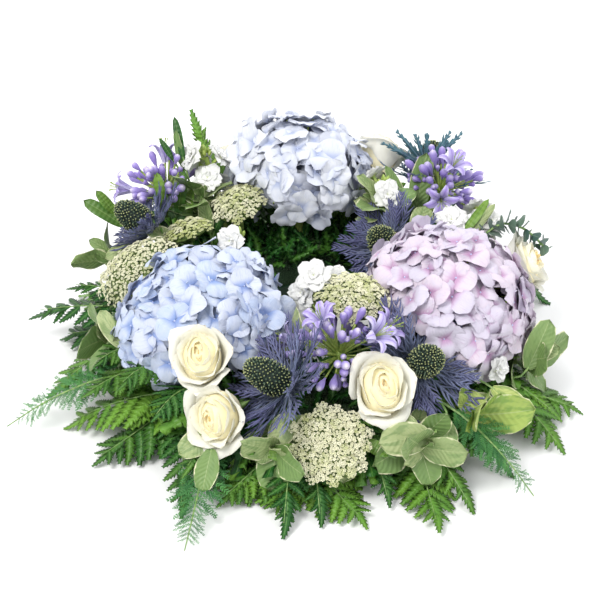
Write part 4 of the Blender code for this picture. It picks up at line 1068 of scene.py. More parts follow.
def thistle(name, place, axis, _, bract):
    """Whorls of spiny bracts under the cone: the frame's, with slimmer ones on both sides of each."""
    draw, at, patches = random.Random(name), facing(place, axis), Patches()
    for way, path, reach in bract_paths(name, place, axis, bract):
        for offset, share, pairs in BRACT_FAN:
            near = way + offset + (draw.uniform(-0.05, 0.05) if offset else 0)
            turn = at @ spun(near - way) @ at.inverted()
            lift = axis * draw.uniform(-0.003, 0.006) if offset else Vector()
            start, middle, end = [turn @ p for p in path]
            end = start.lerp(end, share) + lift
            smooth = bezier(start, start.lerp(middle, share) + lift * 0.4, end, 8)
            if offset and pierces(smooth, ROSE_TREES):
                continue
            across = at.to_3x3() @ polar(1, near + math.pi / 2)
            blades = spiny_bract(draw, smooth, across, reach * (0.45 + 0.55 * share), pairs)
            patches.add(*moved(blades, Matrix(), draw.random()))
    teal = name == TEAL_THISTLE
    for tip in TEAL_TIPS if teal else ():
        tip, foot = Vector(tip), place + Vector((0, -0.004, 0.008))
        bow = foot.lerp(tip, 0.5) + Vector((0, -0.004, 0.006))
        across = (-TO_CAMERA).cross(tip - foot).normalized()
        blades = spiny_bract(draw, bezier(foot, bow, tip, 8), across, 0.030, 7, 0.0042)
        patches.add(*moved(blades, Matrix(), draw.uniform(0, 0.5)))
    boss = [(0, -0.009), (0.0060, -0.0075), (0.0085, -0.004), (0.0090, 0.0006), (0, 0.0006)]
    patches.add(*moved(turned(boss, 14), at), 1)
    stem(patches, name, place - axis * 0.008, axis, 0.0022)
    look = "teal_bract" if teal else "bract"
    patches.build(name + "_collar", (look, "stem"), "thistle_bract", [name])


def cone_radius(t):
    """The radius of a thistle cone at a share of its height."""
    return CONE_RADIUS * math.sqrt(max(0.0, 1 - t**2.6)) * min(1.0, 0.86 + 0.4 * t)


def thistle_cone(name, place, axis, length, _):
    """A cone packed with tiny pointed florets in spirals."""
    draw, at, patches = random.Random(name + "cone"), facing(place, axis), Patches()
    spikes = Copies(turned([(0, -0.0010), (0.00120, 0.0004), (0.00070, 0.0016), (0, 0.0027)], 5))
    for i in range(CONE_FLORETS):
        t = (i + 0.5) / CONE_FLORETS
        height = length * (0.02 + 0.97 * t)
        bearing = i * GOLDEN + draw.uniform(-0.05, 0.05)
        slope = 0.2 + 1.2 * t**3 + draw.uniform(-0.35, 0.35)
        out = polar(math.cos(slope), bearing + draw.uniform(-0.35, 0.35), math.sin(slope))
        size = sized(draw.uniform(0.85, 1.25))
        spikes.add(at @ facing(polar(cone_radius(t), bearing, height), out) @ size, draw.random())
    spikes.stamp(patches)
    slim = 1 - 0.0006 / CONE_RADIUS
    steps = np.linspace(0, 1, 12)
    heart = [(cone_radius(t) * slim, 0.0006 + (length - 0.001) * t) for t in steps]
    body = turned([(0, 0.0006), *heart], 20, (0.0, 0.1))
    patches.add(*moved(body, at))
    patches.build(name + "_florets", ("cone",), "thistle_cone", [name + "_cone"])


# Agapanthus


def bud(length, swell):
    """A long bud along +Z. Its share along runs from 1 to 2."""
    profile = ((0, 0), (0.0010, 0.02), (0.0013, 0.16), (swell * 0.75, 0.42), (swell, 0.68),
               (swell * 0.72, 0.89), (0, 1))
    return turned([(r, z * length) for r, z in profile], 9, (1.0, 2.0))


def trumpet(draw):
    """An open flower: six strap petals that arch out of a short tube, with pale stamens."""
    shapes, stamens = [], []
    across, along = petal_grid(7, 5)
    outline = np.sin(np.clip(along * 0.78 + 0.16, 0, 1) * math.pi) ** 0.7
    x = 0.0012 + 0.0155 * along**1.3
    z = -0.014 + 0.0200 * np.sin(along * 1.75) - 0.0045 * along**3
    grid = np.stack([x, 0.0040 * across * outline, z - 0.0008 * across**2], -1)
    petal = sheet(grid, across, along, 0.0005)
    for k in range(6):
        shapes.append(moved(petal, spun(k * math.pi / 3 + draw.uniform(-0.06, 0.06))))
        tip = polar(0.0045, k * math.pi / 3 + 0.4, 0.009)
        stamens.append(rod([Vector((0, 0, -0.008)), tip * 0.6, tip], [0.0003, 0.00025, 0.0005], 4))
    return joined(shapes), joined(stamens)


def agapanthus(name, place, axis, reach, open_ways):
    """A ball of fine stalks with long buds and a few open flowers, seated as in the frame."""
    draw, at, tree, patches = random.Random(name), facing(place, axis), node_tree(name), Patches()
    open_flower, stamens = trumpet(draw)
    buds = [bud(0.017, 0.0036), bud(0.020, 0.0040), bud(0.011, 0.0033), bud(0.0065, 0.0027)]
    back = at.to_3x3().inverted()
    large = [(back @ Vector(way).normalized() * reach * 1.10, True) for way in open_ways]
    options = [(turn, s) for s in (1, 0.85, 0.7) for turn in (0, -0.2, 0.2, -0.4, 0.4)]
    for i in range(AGAPANTHUS_FLOWERS):
        fall = math.acos(1 - 1.05 * (i + 0.5) / AGAPANTHUS_FLOWERS)
        bearing, is_open = i * GOLDEN, i % 4 == 1

        def end_of(turn, shorter, aside=0.0):
            way = polar(math.sin(fall + turn), bearing + aside, math.cos(fall + turn))
            return way * reach * shorter

        def probes(turn, shorter):
            end = end_of(turn, shorter)
            if not is_open:
                return [at @ end]
            seat = facing(end, end, bearing)
            return [at @ seat @ polar(0.0150, k * math.pi / 3, 0.003) for k in range(6)]

        best = closest(tree, probes, options, SEAT_GAP)
        ends = [(end_of(*best), is_open)] if best else []
        ends += large if i == 0 else []
        for _ in range(EXTRA_BUDS):
            end = end_of(draw.uniform(-0.3, 0.3), draw.uniform(0.48, 1.0), draw.uniform(-0.6, 0.6))
            if not pierces([at @ (end * 0.3), at @ (end * 0.7), at @ end], ROSE_TREES):
                ends.append((end, False))
        for end, wide in ends:
            seat = at @ facing(end, end, draw.uniform(0, 6))
            tint = draw.random() * (1.0 if open_ways else 0.45)
            if wide:
                drop = 0.012
                grown = seat @ sized(1.12 if end.length > reach * 1.05 else 1.0)
                patches.add(*moved(open_flower, grown, tint + 0.2))
                patches.add(*moved(stamens, grown, tint), 1)
            else:
                shape = buds[3] if end.length < reach * 0.76 else draw.choice(buds[:3])
                drop = shape[0][:, 2].max()
                patches.add(*moved(shape, seat @ Matrix.Translation((0, 0, -drop)), tint))
            foot = end * (1 - drop / end.length)
            stalk = [at @ (foot * s) for s in (0.02, 0.5, 1.0)]
            patches.add(*rod(stalk, [0.0009, 0.0007, 0.0010]), 1)
    hub = turned([(0, -0.005), (0.0045, -0.003), (0.0050, 0.001), (0.003, 0.005), (0, 0.006)], 10)
    patches.add(*moved(hub, at), 1)
    stem(patches, name, place, axis, 0.0032)
    patches.build(name + "_head", ("agapanthus", "pedicel"), "agapanthus", [name])


# Umbels


def tiny_flower():
    """Five blunt petals round a small bead."""
    petal = turned([(0, -0.0004), (0.00088, 0.0001), (0, 0.0006)], 4, (0.6, 1.0))
    spots = [polar(0.0011, k * math.tau / 5, 0.0002) for k in range(5)]
    shapes = [moved(petal, facing(spot, (spot.x * 300, spot.y * 300, 1))) for spot in spots]
    return joined([*shapes, turned([(0, -0.0008), (0.0006, 0.0003), (0, 0.0009)], 4, (0.0, 0.3))])


def umbel(name, place, axis, radius, green):
    """Many clusters of tiny flowers over a low dome, on a cone of fine stalks."""
    draw, at, patches = random.Random(name), facing(place, axis), Patches()
    flowers = Copies(tiny_flower())
    clusters = LARGE_CLUSTERS if radius > LARGE_UMBEL else SMALL_CLUSTERS
    dome, inner = radius * 0.36, radius - UMBEL_RIM
    size = inner / math.sqrt(clusters) * 1.02
    for i in range(clusters):
        share, bearing = math.sqrt((i + 0.5) / clusters), i * GOLDEN
        spot = polar(inner * share, bearing, dome * (1 - share**2) + 0.001)
        head = at @ facing(spot, Vector((spot.x * 14, spot.y * 14, 1)).normalized(), bearing)
        tone = draw.uniform(-0.25, 0.35) + green
        for k in range(CLUSTER_FLOWERS):
            r = size * 1.12 * math.sqrt((k + 0.3) / CLUSTER_FLOWERS)
            rise = 0.0026 * (1 - (r / size) ** 2) + draw.uniform(-0.0010, 0.0010)
            local = polar(r * draw.uniform(0.85, 1.15), k * GOLDEN + i, rise)
            seat = facing(local, (local.x * 120, local.y * 120, 1), k)
            flower = head @ seat @ sized(draw.uniform(0.62, 1.08))
            flowers.add(flower, tone + draw.uniform(-0.15, 0.25))
        foot, top = at @ Vector((spot.x * 0.10, spot.y * 0.10, -radius * 0.36)), head.translation
        knee = foot.lerp(top, 0.55) - head.to_3x3() @ Vector((0, 0, 0.001))
        patches.add(*rod([foot, knee, top], [0.0006, 0.0005, 0.0011], 4), 1)
    flowers.stamp(patches)
    # A dark cup under the clusters: partly the umbel's green, partly painted shade in the gaps
    # between them.
    profile = [(0, -radius * 0.38), (0.0028, -radius * 0.37), (radius * 0.50, -0.001),
               (radius * 0.80, -0.0005), (radius * 0.52, dome * 0.55), (0, dome * 0.85)]
    patches.add(*moved(turned(profile, 18), at), 1)
    stem(patches, name, place - axis * radius * 0.34, axis, 0.0020)
    patches.build(name + "_lace", ("umbel", "cup"), "umbel", [name])


# Stock


def ruffled_flower(draw):
    """Two layers of crumpled petals."""
    shapes = []
    for layer, (count, length, rise) in enumerate(((5, 1.0, 0.10), (4, 0.72, 0.50), (3, 0.42, 0.95))):
        for k in range(count):
            across, along = petal_grid(6, 8)
            outline = np.sin(np.clip(along * 0.72 + 0.20, 0, 1) * math.pi) ** 0.6
            crumple = np.sin(across * 6 + draw.uniform(0, 6)) * 0.085 * along**1.5
            crumple += np.sin(along * 7 + across * 3 + draw.uniform(0, 6)) * 0.03 * along
            z = crumple - 0.10 * along**3
            grid = np.stack([length * along, 0.52 * length * across * outline, z], -1)
            turn = spun((k + 0.5 * layer) * math.tau / count + draw.uniform(-0.2, 0.2))
            lean = spun(-rise + draw.uniform(-0.15, 0.15), "Y")
            shapes.append(moved(sheet(grid, across, along, 0.03), turn @ lean))
    return joined(shapes)


def stock(name, place, axis, count):
    """White ruffled flowers up a stem, with green buds at its tip."""
    draw, at, tree, patches = random.Random(name), facing(place, axis), node_tree(name), Patches()
    kinds = [ruffled_flower(draw) for _ in range(3)]
    turns = (0, 0.5, -0.5, 1.1, -1.1)
    options = [(t, size, lean) for size in (1, 0.82, 0.66) for lean in (1.0, 0.6) for t in turns]
    rim = [(k * math.pi / 2 + w, 0.002) for k in range(4) for w in (-0.48, 0.48)]
    for i in range(count):
        bearing, down = i * 2.4, 0.001 + 0.0075 * i

        def seat_of(turn, size, lean):
            out = polar(math.sin(lean), bearing + turn, math.cos(lean))
            return at @ facing(out * 0.0165 * size + Vector((0, 0, -down)), out, bearing)

        def probes(turn, size, lean):
            seat = seat_of(turn, size, lean)
            return [seat @ polar(STOCK_FLOWER * size, *edge) for edge in rim]

        best = closest(tree, probes, options, SEAT_GAP)
        if best:
            seat, size = seat_of(*best), best[1]
            grown = seat @ sized(STOCK_FLOWER * size * 1.02)
            patches.add(*moved(draw.choice(kinds), grown, draw.random()))
            back = seat @ Vector((0, 0, -0.0150 * size))
            patches.add(*rod([back, seat.translation], [0.0010, 0.0022], 6), 1)
    pod = turned([(0, 0), (0.0018, 0.001), (0.0024, 0.004), (0.0017, 0.007), (0, 0.009)], 7)
    for k in range(STOCK_BUDS):
        aside, radius = (0.75, 0.0028) if k < WIDE_BUDS else (0.25, 0.001)
        out = polar(aside, k * GOLDEN, 1)
        spot = polar(radius, k * GOLDEN, 0.002 + 0.0006 * k)
        seat = at @ facing(spot, out) @ sized(draw.uniform(0.7, 1.0))
        patches.add(*moved(pod, seat, draw.random()), 1)
    stem(patches, name, place, axis, 0.0024)
    patches.build(name + "_spike", ("stock", "pedicel"), "stock", [name])


# Leafy sprigs


def waved_leaf(draw, length, half_width, arch, wave, rows=12, columns=9):
    """A blunt oval leaf along +X with a sunk rib, a waved edge and a short stalk."""
    across, along = petal_grid(rows, columns)
    outline = np.sin(np.clip(along * 0.87 + 0.05, 0, 1) * math.pi) ** 0.62
    outline = np.maximum(outline, 0.04) * (along < 0.999)
    ripple = wave * np.sin(along * 9 + across * 2 + draw.uniform(0, 6)) * np.abs(across) ** 1.5
    fold = 0.16 * half_width * np.abs(across) ** 1.2 * outline
    z = -arch * along**2 * length + ripple + fold
    grid = np.stack([length * along, half_width * across * outline, z], -1)
    return sheet(grid, across, along, 0.0006)


def sprig(name, place, axis, count, length):
    """Broad variegated leaves, seated as in the frame, with a few smaller ones between them."""
    draw, at, tree, patches = random.Random(name), facing(place, axis), node_tree(name), Patches()
    extra, turns = random.Random(name + "extra"), (0, 0.45, -0.45, 0.9, -0.9)
    options = [(t, lift, s) for s in (1, 0.8, 0.62) for t in turns for lift in (0, 0.3, -0.3, 0.6)]
    for i in range(count):
        bearing, down = i * 2.4 + draw.uniform(-0.2, 0.2), 0.0045 * i
        size, splay = length * draw.uniform(0.85, 1.1), 0.55 + 0.8 * i / count

        def placed(turn, lift):
            upright = spun(-(math.pi / 2 - splay - lift), "Y")
            return at @ Matrix.Translation((0, 0, -down)) @ spun(bearing + turn) @ upright

        def probes(turn, lift, shrink):
            long, seat = size * shrink, placed(turn, lift)
            middle, side, fall = 0.46 * long, 0.34 * long, -0.20 * 0.46**2 * long
            sides = [(middle, side, fall + 0.0014), (middle, -side, fall - 0.0014)]
            return [seat @ Vector(p) for p in ((long, 0, -0.20 * long), *sides)]

        best = closest(tree, probes, options, LEAF_GAP)
        if best:
            long = size * best[2]
            leaf = waved_leaf(extra, long, long * 0.37, 0.20, 0.0016)
            patches.add(*moved(leaf, placed(*best[:2]), extra.uniform(-0.1, 0.6)))
        long = size * extra.uniform(0.45, 0.6)
        leaf = waved_leaf(extra, long, long * 0.33, 0.25, 0.0012, 9, 7)
        seat = placed(extra.uniform(0.8, 1.6), extra.uniform(-0.2, 0.4))
        patches.add(*moved(leaf, seat, extra.uniform(0.0, 0.8)))
    stem(patches, name, place, axis, 0.0016)
    look = "lime_leaf" if name in LIME_SPRIGS else "leaf"
    patches.build(name + "_foliage", (look, "stem"), "leaf", [name])


def foam_root(place):
    """Where the short stalk of a loose leaf or flower stands in the foam's top."""
    radius = max(math.hypot(place.x, place.y), TRAY_INNER + ROOT_MARGIN)
    radius = min(radius, TRAY_OUTER - ROOT_MARGIN)
    return polar(radius, math.atan2(place.y, place.x), FOAM_TOP - ROOT_DEPTH)


def loose_leaves():
    """The single leaves between the blooms, with their upper sides to the light."""
    draw, patches = random.Random("loose leaves"), Patches()
    looks = ("leaf", "plain_leaf", "stem", "lime_leaf")
    for foot, tip, half_width, look, tint in LOOSE_LEAVES:
        foot, tip = Vector(foot), Vector(tip)
        upper = Vector((0, -0.55, 0.85)) + polar(0.25, math.atan2(foot.y, foot.x))
        seat = frame_from(foot, tip - foot, upper) @ spun(-0.10, "Y")
        leaf = waved_leaf(draw, (tip - foot).length * 1.04, half_width, 0.16, 0.0012)
        patches.add(*moved(leaf, seat, tint), looks.index(look))
        root = foam_root(foot)
        bend = foot - (tip - foot).normalized() * (foot - root).length * 0.4
        stalk = [*bezier(root, bend, foot, 5), foot.lerp(tip, 0.08)]
        patches.add(*rod(stalk, [0.0010] * 7, 5), looks.index("stem"))
    patches.build("loose_leaves", looks, "leaf", [])


def loose_flowers():
    """White ruffled flowers between the blooms, on short green stalks."""
    draw, patches = random.Random("loose flowers"), Patches()
    for place, way, radius in LOOSE_FLOWERS:
        place, way = Vector(place), Vector(way).normalized()
        seat = facing(place, way, draw.uniform(0, 6)) @ sized(radius)
        patches.add(*moved(ruffled_flower(draw), seat, draw.random()))
        patches.add(*rod(bezier(foam_root(place), place - way * 0.02, place, 6), [0.0016] * 7, 6), 1)
    patches.build("loose_flowers", ("stock", "pedicel"), "stock", [])


# Fronds


def frond_path(start, tip_bearing, reach, tip_height, rise):
    """The arch of a frond from its start to its tip."""
    end = polar(reach, math.radians(tip_bearing), tip_height)
    return bezier(start, start.lerp(end, 0.5) + Vector((0, 0, rise)), end, 6)


def shoulder_root(tree, root_bearing, height):
    """Where a stalk stands in the foam and where it leaves it, at the turn that the frame has, and
    just before that, where its frond starts."""
    depth = min(FOAM_TOP - 0.016, height - 0.001)

    def ends(turn):
        bearing = math.radians(root_bearing + turn)
        return [polar(TRAY_OUTER - 0.019, bearing, depth), polar(TRAY_OUTER - 0.001, bearing, height)]

    turns = [(turn,) for turn in (0, 2, -2, 4, -4, 6, -6, 8, -8, 11, -11, 14, -14)]
    root, leave = ends(*closest(tree, ends, turns))
    return root, leave, leave - (leave - root).normalized() * 0.001


def toothed_pinna(half, teeth, draw):
    """A tapering leaflet 1 long along +X whose edge is cut in forward lobes. Its rib arches down."""
    stations, halves = [0.0], [0.0006]
    for k in range(teeth):
        share = (k + 0.5) / teeth
        taper = math.sin(min(1.0, share * 1.6 + 0.35) * math.pi * 0.5) * (1 - share) ** 0.60
        wide = half * (taper + 0.05)
        stations += [(k + 0.35) / teeth, (k + 0.80) / teeth, (k + 0.99) / teeth]
        halves += [wide * 0.82, wide * draw.uniform(0.94, 1.12), wide * 0.56]
    stations[-1], halves[-1] = 1.0, 0.0
    t, arch = np.array(stations), draw.uniform(0.05, 0.22)
    rib = np.stack([t, 0.05 * np.sin(t * 3), -arch * t**2], -1)
    return blade(rib, SIDEWAYS, UPWARD, halves, 0.0003, sweep=0.60)


def frond_frames(path, count, start):
    """Evenly spaced frames along a path: share, place, forward, side and up."""
    for k in range(count):
        t = start + (1 - start) * (k + 0.2) / count
        place = along_path(path, t)
        ahead = (along_path(path, min(1, t + 0.04)) - along_path(path, t - 0.04)).normalized()
        side = ahead.cross(Vector((0, 0, 1))).normalized()
        yield (t - start) / (1 - start), place, ahead, side, side.cross(ahead)


def fern_frond(patches, path, half_width, draw, tint):
    """A frond whose leaflets shorten to its tip and are toothed in turn."""
    smooth = np.array([along_path(path, t) for t in np.linspace(0, 1, 16)])
    patches.add(*rod(smooth, np.linspace(0.0011, 0.0003, 16), 5), 1)
    kinds = [toothed_pinna(0.28, teeth, draw) for teeth in (8, 7, 6)]
    for share, place, ahead, side, up in frond_frames(path, FROND_PAIRS, 0.06):
        length = half_width * 1.26 * (1 - share) ** 0.70 * min(1.0, 0.66 + 2.4 * share) + 0.006
        for way in (1, -1):
            lean = side * way + ahead * draw.uniform(0.70, 1.0) - up * draw.uniform(0.0, 0.30)
            seat = frame_from(place, lean, up + side * way * 0.15, length * draw.uniform(0.92, 1.06))
            kind = kinds[min(2, int(share * 3))]
            patches.add(*moved(kind, seat, tint + draw.uniform(-0.15, 0.15)))
    foot = along_path(path, 0.74)
    end = frame_from(foot, path[-1] - foot, Vector((0, 0, 1)), (path[-1] - foot).length * 1.45)
    patches.add(*moved(toothed_pinna(0.20, 10, draw), end, tint))


def fern(name, root_bearing, height, tips):
    """A fan of toothed fronds from one stalk, each with the arch that the frame has."""
    draw, tree, patches = random.Random(name), node_tree(name), Patches()
    root, leave, start = shoulder_root(tree, root_bearing, height)
    patches.add(*rod([root, leave], [0.0016, 0.0016], 8), 1)
    rises = (0.016, 0.006, -0.005, 0.028, -0.016, -0.026, 0.040)
    options = [(r, turn, s) for s in (1.0, 0.94, 0.87) for turn in (0, 4, -4, 9, -9) for r in rises]
    for tip in tips:
        tip_bearing, reach, tip_height = (*tip, FERN_TIP_HEIGHT)[:3]

        def path_of(rise, turn, shorter):
            return frond_path(start, tip_bearing + turn, reach * shorter, tip_height, rise)

        best = closest(tree, lambda *o: path_of(*o)[2:], options, LEAF_GAP)
        if best:
            path = path_of(*best)
            fern_frond(patches, path, leaflet_reach(name, path), draw, draw.uniform(0.2, 1.0))
    patches.build(name + "_fronds", ("fern", "stem"), "fern", [name])


def loose_fronds():
    """Fronds between the others, from the foam's shoulder."""
    draw, patches = random.Random("loose fronds"), Patches()
    for bearing, reach, tip_height, half_width, rise in LOOSE_FRONDS:
        root_bearing = math.radians(bearing + draw.uniform(-4, 4))
        start = polar(TRAY_OUTER - 0.012, root_bearing, FOAM_TOP - 0.012)
        path = frond_path(start, bearing, reach, tip_height, rise)
        fern_frond(patches, path, half_width, draw, draw.uniform(0.1, 0.9))
    patches.build("loose_fronds", ("fern", "stem"), "fern", [])


def leaflet_reach(name, path):
    """The half width of the frame's frond: how far its points stand off the path's middle part."""
    widest = 0.018
    first, last = along_path(path, 0.25), along_path(path, 0.55)
    ahead = (last - first).normalized()
    for p in node_shape(name)[0]:
        run = (p - first).dot(ahead)
        off = (p - first - ahead * run).length
        if 0 < run / (last - first).length < 1.2 and off < 0.036:
            widest = max(widest, off)
    return min(widest, 0.034)


# Asparagus plumes


def needle_tuft(draw):
    """A thread-like twig of length 1 along +X with fine needles on both sides and above."""
    shapes = [rod([(0, 0, 0), (0.5, 0, -0.02), (1, 0, -0.06)], [0.012, 0.009, 0.003], 4)]
    for k in range(NEEDLE_PAIRS):
        t = 0.06 + 0.92 * k / NEEDLE_PAIRS
        for way in (1, -1):
            length = 0.15 * (1 - 0.45 * t) * draw.uniform(0.7, 1.2)
            lean = Vector((0.75, way * draw.uniform(0.6, 1.0), draw.uniform(-0.35, 0.35)))
            root = Vector((t, 0, -0.06 * t * t))
            tip = root + lean.normalized() * length
            spine = [root, root.lerp(tip, 0.5), tip]
            shapes.append(leaflet(spine, lean, Vector((0, 0, 1)), 0.027, 0.008))
    return joined(shapes)


def plume(name, root_bearing, height, tip_bearing, reach):
    """A fine frond: side branches in one plane, each with needle-leaved twigs."""
    draw, tree, patches = random.Random(name), node_tree(name), Patches()
    root, _, start = shoulder_root(tree, root_bearing, height)
    rises = (0.030, 0.022, 0.014, 0.038, 0.046, 0.004, -0.006, -0.016)

    def path_of(rise, turn):
        return frond_path(start, tip_bearing + turn, reach, PLUME_TIP_HEIGHT, rise)

    options = [(rise, turn) for turn in (0, 4, -4, 8, -8) for rise in rises]
    path = path_of(*closest(tree, lambda *o: path_of(*o)[2:], options))
    smooth = np.array([root] + [along_path(path, t) for t in np.linspace(0, 1, 24)])
    patches.add(*rod(smooth, np.linspace(0.0013, 0.0005, 25), 6), 1)
    tufts = Copies(*[needle_tuft(draw) for _ in range(3)])
    for share, place, ahead, side, up in frond_frames(path, PLUME_PAIRS, 0.28):
        if share > 0.90:
            continue
        length = 0.034 * (1 - share) ** 0.8 * min(1.0, 0.40 + 2.2 * share)
        length = length * draw.uniform(0.6, 1.15) + 0.005
        for way in (1, -1):
            branch = side * way + ahead * draw.uniform(0.55, 0.95) + up * draw.uniform(-0.25, 0.12)
            branch.normalize()
            size = length * draw.uniform(0.80, 1.08)
            for twig, lean, forth in ((1.0, 0.0, 0.0), (0.45, 0.75, 0.30), (0.4, -0.75, 0.48)):
                way_out = (branch + ahead * lean * 0.8 + up * draw.uniform(-0.2, 0.2)).normalized()
                k = draw.randrange(3)
                seat = frame_from(place + branch * size * forth, way_out, up, size * twig)
                tufts.add(seat, draw.random(), k)
    tufts.stamp(patches)
    patches.build(name + "_plume", ("needle", "stem"), "asparagus", [name])


# Eucalyptus


def eucalyptus(name, place, axis):
    """Two arching twigs with small round leaves in pairs. The frame has the first one's stem."""
    draw, patches = random.Random(name), Patches()
    path = stem_path(stem_root(name), place, axis)
    patches.add(*rod(path, [0.0012] * len(path), 6), 1)
    over_rose = bezier(*[Vector(p) for p in EUCALYPTUS_BRANCH], 8)
    patches.add(*rod(over_rose, [0.0011] * 9, 6), 1)
    for course, count in zip((path[1:], over_rose), EUCALYPTUS_LEAVES):
        for i in range(count):
            share = 1 - 0.9 * i / count
            ahead = along_path(course, min(1, share + 0.05)) - along_path(course, share - 0.05)
            at = facing(along_path(course, share), ahead, (i % 2) * math.pi + (i // 2) * 1.2)
            size = draw.uniform(0.011, 0.015) * (0.75 + 0.25 * min(1, i / 6))
            leaf = waved_leaf(draw, size, size * 0.48, 0.1, 0.0004, 8, 7)
            patches.add(*moved(leaf, at @ spun(-0.5, "Y"), draw.random()))
    patches.build(name + "_twig", ("eucalyptus", "stem"), "eucalyptus", [name])


# The ring: foam, moss and dark foliage between the blooms


def foam_shell(bearing, share, lift):
    """A point over the foam's top and shoulders, and the way out. share runs from 0 to 1 across."""
    inner, outer = TRAY_INNER + 0.0025, TRAY_OUTER - 0.0025
    aside = (share - 0.5) * 2
    flat = math.copysign(min(1.0, abs(aside) * 1.15), aside)
    drop = max(0.0, abs(aside) - 0.75) / 0.25
    out = Vector((math.copysign(drop, aside) * 1.2, 0, 1)).normalized()
    way = polar(out.x, bearing, out.z)
    radius = (inner + outer) / 2 + (outer - inner) / 2 * flat
    return polar(radius, bearing, FOAM_TOP - 0.0176 * drop) + way * lift, way


def moss():
    """A felt of tiny upright leaflets over the foam."""
    draw, patches, shapes = random.Random("moss"), Patches(), []
    for k in range(5):
        lean = polar(draw.uniform(0.2, 0.9), k * GOLDEN, 1).normalized()
        tip = lean * draw.uniform(0.6, 1.0)
        helper = polar(1, k * GOLDEN + 1.5)
        shapes.append(leaflet([Vector(), tip * 0.5, tip], lean, helper, 0.17, 0.05))
    tufts = Copies(joined(shapes))
    for _ in range(MOSS_TUFTS):
        spot, way = foam_shell(draw.uniform(0, math.tau), draw.uniform(0.02, 0.98), -0.0006)
        size = draw.uniform(0.004, 0.0085)
        tufts.add(facing(spot, way, draw.uniform(0, 6)) @ sized(size), draw.random())
    tufts.stamp(patches)
    patches.build("moss", ("moss",), "foam", [])


def dark_foliage():
    """Dark leaflets between the blooms, over the top and both sides of the foam."""
    draw, patches = random.Random("foliage"), Patches()
    leaflets = Copies(*[toothed_pinna(0.24, teeth, draw) for teeth in (3, 4, 4)])
    others = ("fern", "asparagus", "tray")
    blooms = [node_tree(name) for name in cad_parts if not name.startswith(others)]

    def grow(spot, lean, size, upper, tints):
        """One leaflet of a drawn kind. upper draws the way that its upper side faces."""
        k = draw.randrange(3)
        leaflets.add(frame_from(spot, lean, upper(), size), draw.uniform(*tints), k)

    for _ in range(TOP_LEAFLETS):
        bearing, share = draw.uniform(0, math.tau), draw.uniform(0.0, 1.0)
        spot, way = foam_shell(bearing, share, 0.0005)
        outward = way + polar(draw.gauss(0, 0.8), bearing)
        lean = (outward + polar(draw.gauss(0, 0.8), bearing + math.pi / 2)).normalized()
        lean.z = max(lean.z, 0.05)
        size = draw.uniform(0.014, 0.030)
        if any(tree.ray_cast(spot + lean * 0.002, lean, size)[0] is not None for tree in blooms):
            size *= 0.45
        end = spot + lean * size
        if math.hypot(end.x, end.y) >= HOLE_CLEAR:
            grow(spot, lean, size, lambda: way + polar(0.5, draw.uniform(0, 6)), (-0.2, 0.5))
    for _ in range(RIM_LEAFLETS):
        bearing, height = draw.uniform(0, math.tau), draw.uniform(0.026, 0.050)
        size = draw.uniform(0.032, 0.062)
        fall = draw.uniform(-0.75, 0.25) if size * 0.75 < height else draw.uniform(-0.45, 0.30)
        spot = polar(TRAY_OUTER - 0.003, bearing, height)
        lean = polar(1, bearing + draw.gauss(0, 0.5), fall)
        grow(spot, lean, size, lambda: Vector((0, 0, 1)) + polar(0.4, draw.uniform(0, 6)), (0.0, 1.0))
    for _ in range(HOLE_LEAFLETS):
        bearing = draw.uniform(0, math.tau)
        spot, size = polar(TRAY_INNER + 0.006, bearing, FOAM_TOP - 0.006), draw.uniform(0.024, 0.036)
        lean = polar(-draw.uniform(0.3, 0.9), bearing + draw.gauss(0, 0.5), draw.uniform(0.5, 1.0))
        grow(spot, lean, size, lambda: polar(0.8, draw.uniform(0, 6), 0.6), (-0.1, 0.6))
    for _ in range(BACK_LEAFLETS):
        bearing = math.radians(draw.uniform(5, 175))
        spot = polar(draw.uniform(0.125, TRAY_OUTER - 0.004), bearing, FOAM_TOP)
        lean = polar(draw.uniform(0.2, 1.1), bearing + draw.gauss(0, 0.4), 0.9)
        size = draw.uniform(0.030, 0.052)
        grow(spot, lean, size, lambda: polar(-1, bearing + draw.gauss(0, 0.7), 0.3), (-0.1, 1.0))
    leaflets.stamp(patches)
    patches.build("under_foliage", ("fern",), "fern", [])


def ring_looks():
    """The materials of the frame's own tray and foam ring."""
    for name, look in (("tray", "tray"), ("foam_ring", "foam")):
        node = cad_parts[name]
        node.data.materials.clear()
        node.data.materials.append(LOOKS[look])


# Floor, light and camera


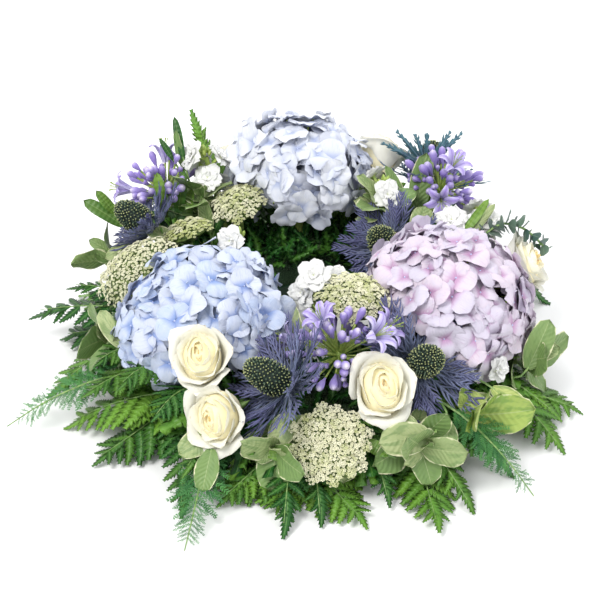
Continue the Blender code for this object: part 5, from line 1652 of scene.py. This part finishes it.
def floor():
    """A pale floor."""
    mesh = bpy.data.meshes.new("floor")
    corners = [(x * FLOOR_HALF, y * FLOOR_HALF, 0.0) for x, y in ((-1, -1), (1, -1), (1, 1), (-1, 1))]
    mesh.from_pydata(corners, [], [(0, 1, 2, 3)])
    made = linked("floor", mesh)
    s = Surface("floor_white", 0.6, specular=0.2)
    s.base(s.speckle(1.5), 0.3, 0.7, (0.91, 0.91, 0.91), (0.93, 0.93, 0.93))
    mesh.materials.append(s.finish())


def aim(made, place, way):
    """Puts a light or the camera at a place and points it along way."""
    made.location = place
    made.rotation_mode = "QUATERNION"
    made.rotation_quaternion = way.to_track_quat("-Z", "Y")


def area_light(name, place, size, power, colour):
    """A square light that points at the wreath."""
    data = bpy.data.lights.new(name, "AREA")
    data.shape, data.size, data.energy, data.color = "SQUARE", size, power, colour
    aim(linked(name, data), place, Vector((0, 0, 0.05)) - Vector(place))


def lights():
    """A pale studio: even light from all sides and three soft lights."""
    world = bpy.data.worlds.new("studio")
    world.use_nodes = True
    background = world.node_tree.nodes["Background"]
    background.inputs["Color"].default_value = (0.98, 0.99, 1.0, 1)
    background.inputs["Strength"].default_value = 0.72
    bpy.context.scene.world = world
    bpy.context.scene.view_settings.view_transform = "Standard"
    area_light("key", (-0.9, -1.0, 2.0), 0.9, 42, (1.0, 0.99, 0.97))
    area_light("fill", (1.4, -0.9, 1.3), 1.4, 14, (0.97, 0.98, 1.0))
    area_light("back", (0.2, 1.6, 1.6), 1.2, 20, (1.0, 1.0, 1.0))


def camera():
    """The photograph's camera."""
    data = bpy.data.cameras.new("camera")
    data.lens, data.sensor_width = CAMERA_LENS, 36
    made = linked("camera", data)
    aim(made, LOOK_AT + MIDDLE + TO_CAMERA * CAMERA_DISTANCE, -TO_CAMERA)
    bpy.context.scene.camera = made


camera()
for build, rows in (
    (hydrangea, HYDRANGEAS),
    (rose, ROSES),
    (rose_stem, ROSES),
    (thistle, THISTLES),
    (thistle_cone, THISTLES),
    (agapanthus, AGAPANTHUS),
    (umbel, UMBELS),
    (stock, STOCKS),
    (sprig, SPRIGS),
    (fern, FERNS),
    (plume, PLUMES),
    (eucalyptus, EUCALYPTUS),
):
    for row_name, row in rows.items():
        if build not in (fern, plume):
            row = (Vector(row[0]), Vector(row[1]).normalized(), *row[2:])
        build(row_name, *row)
loose_leaves()
loose_flowers()
loose_fronds()
moss()
dark_foliage()
ring_looks()
floor()
lights()
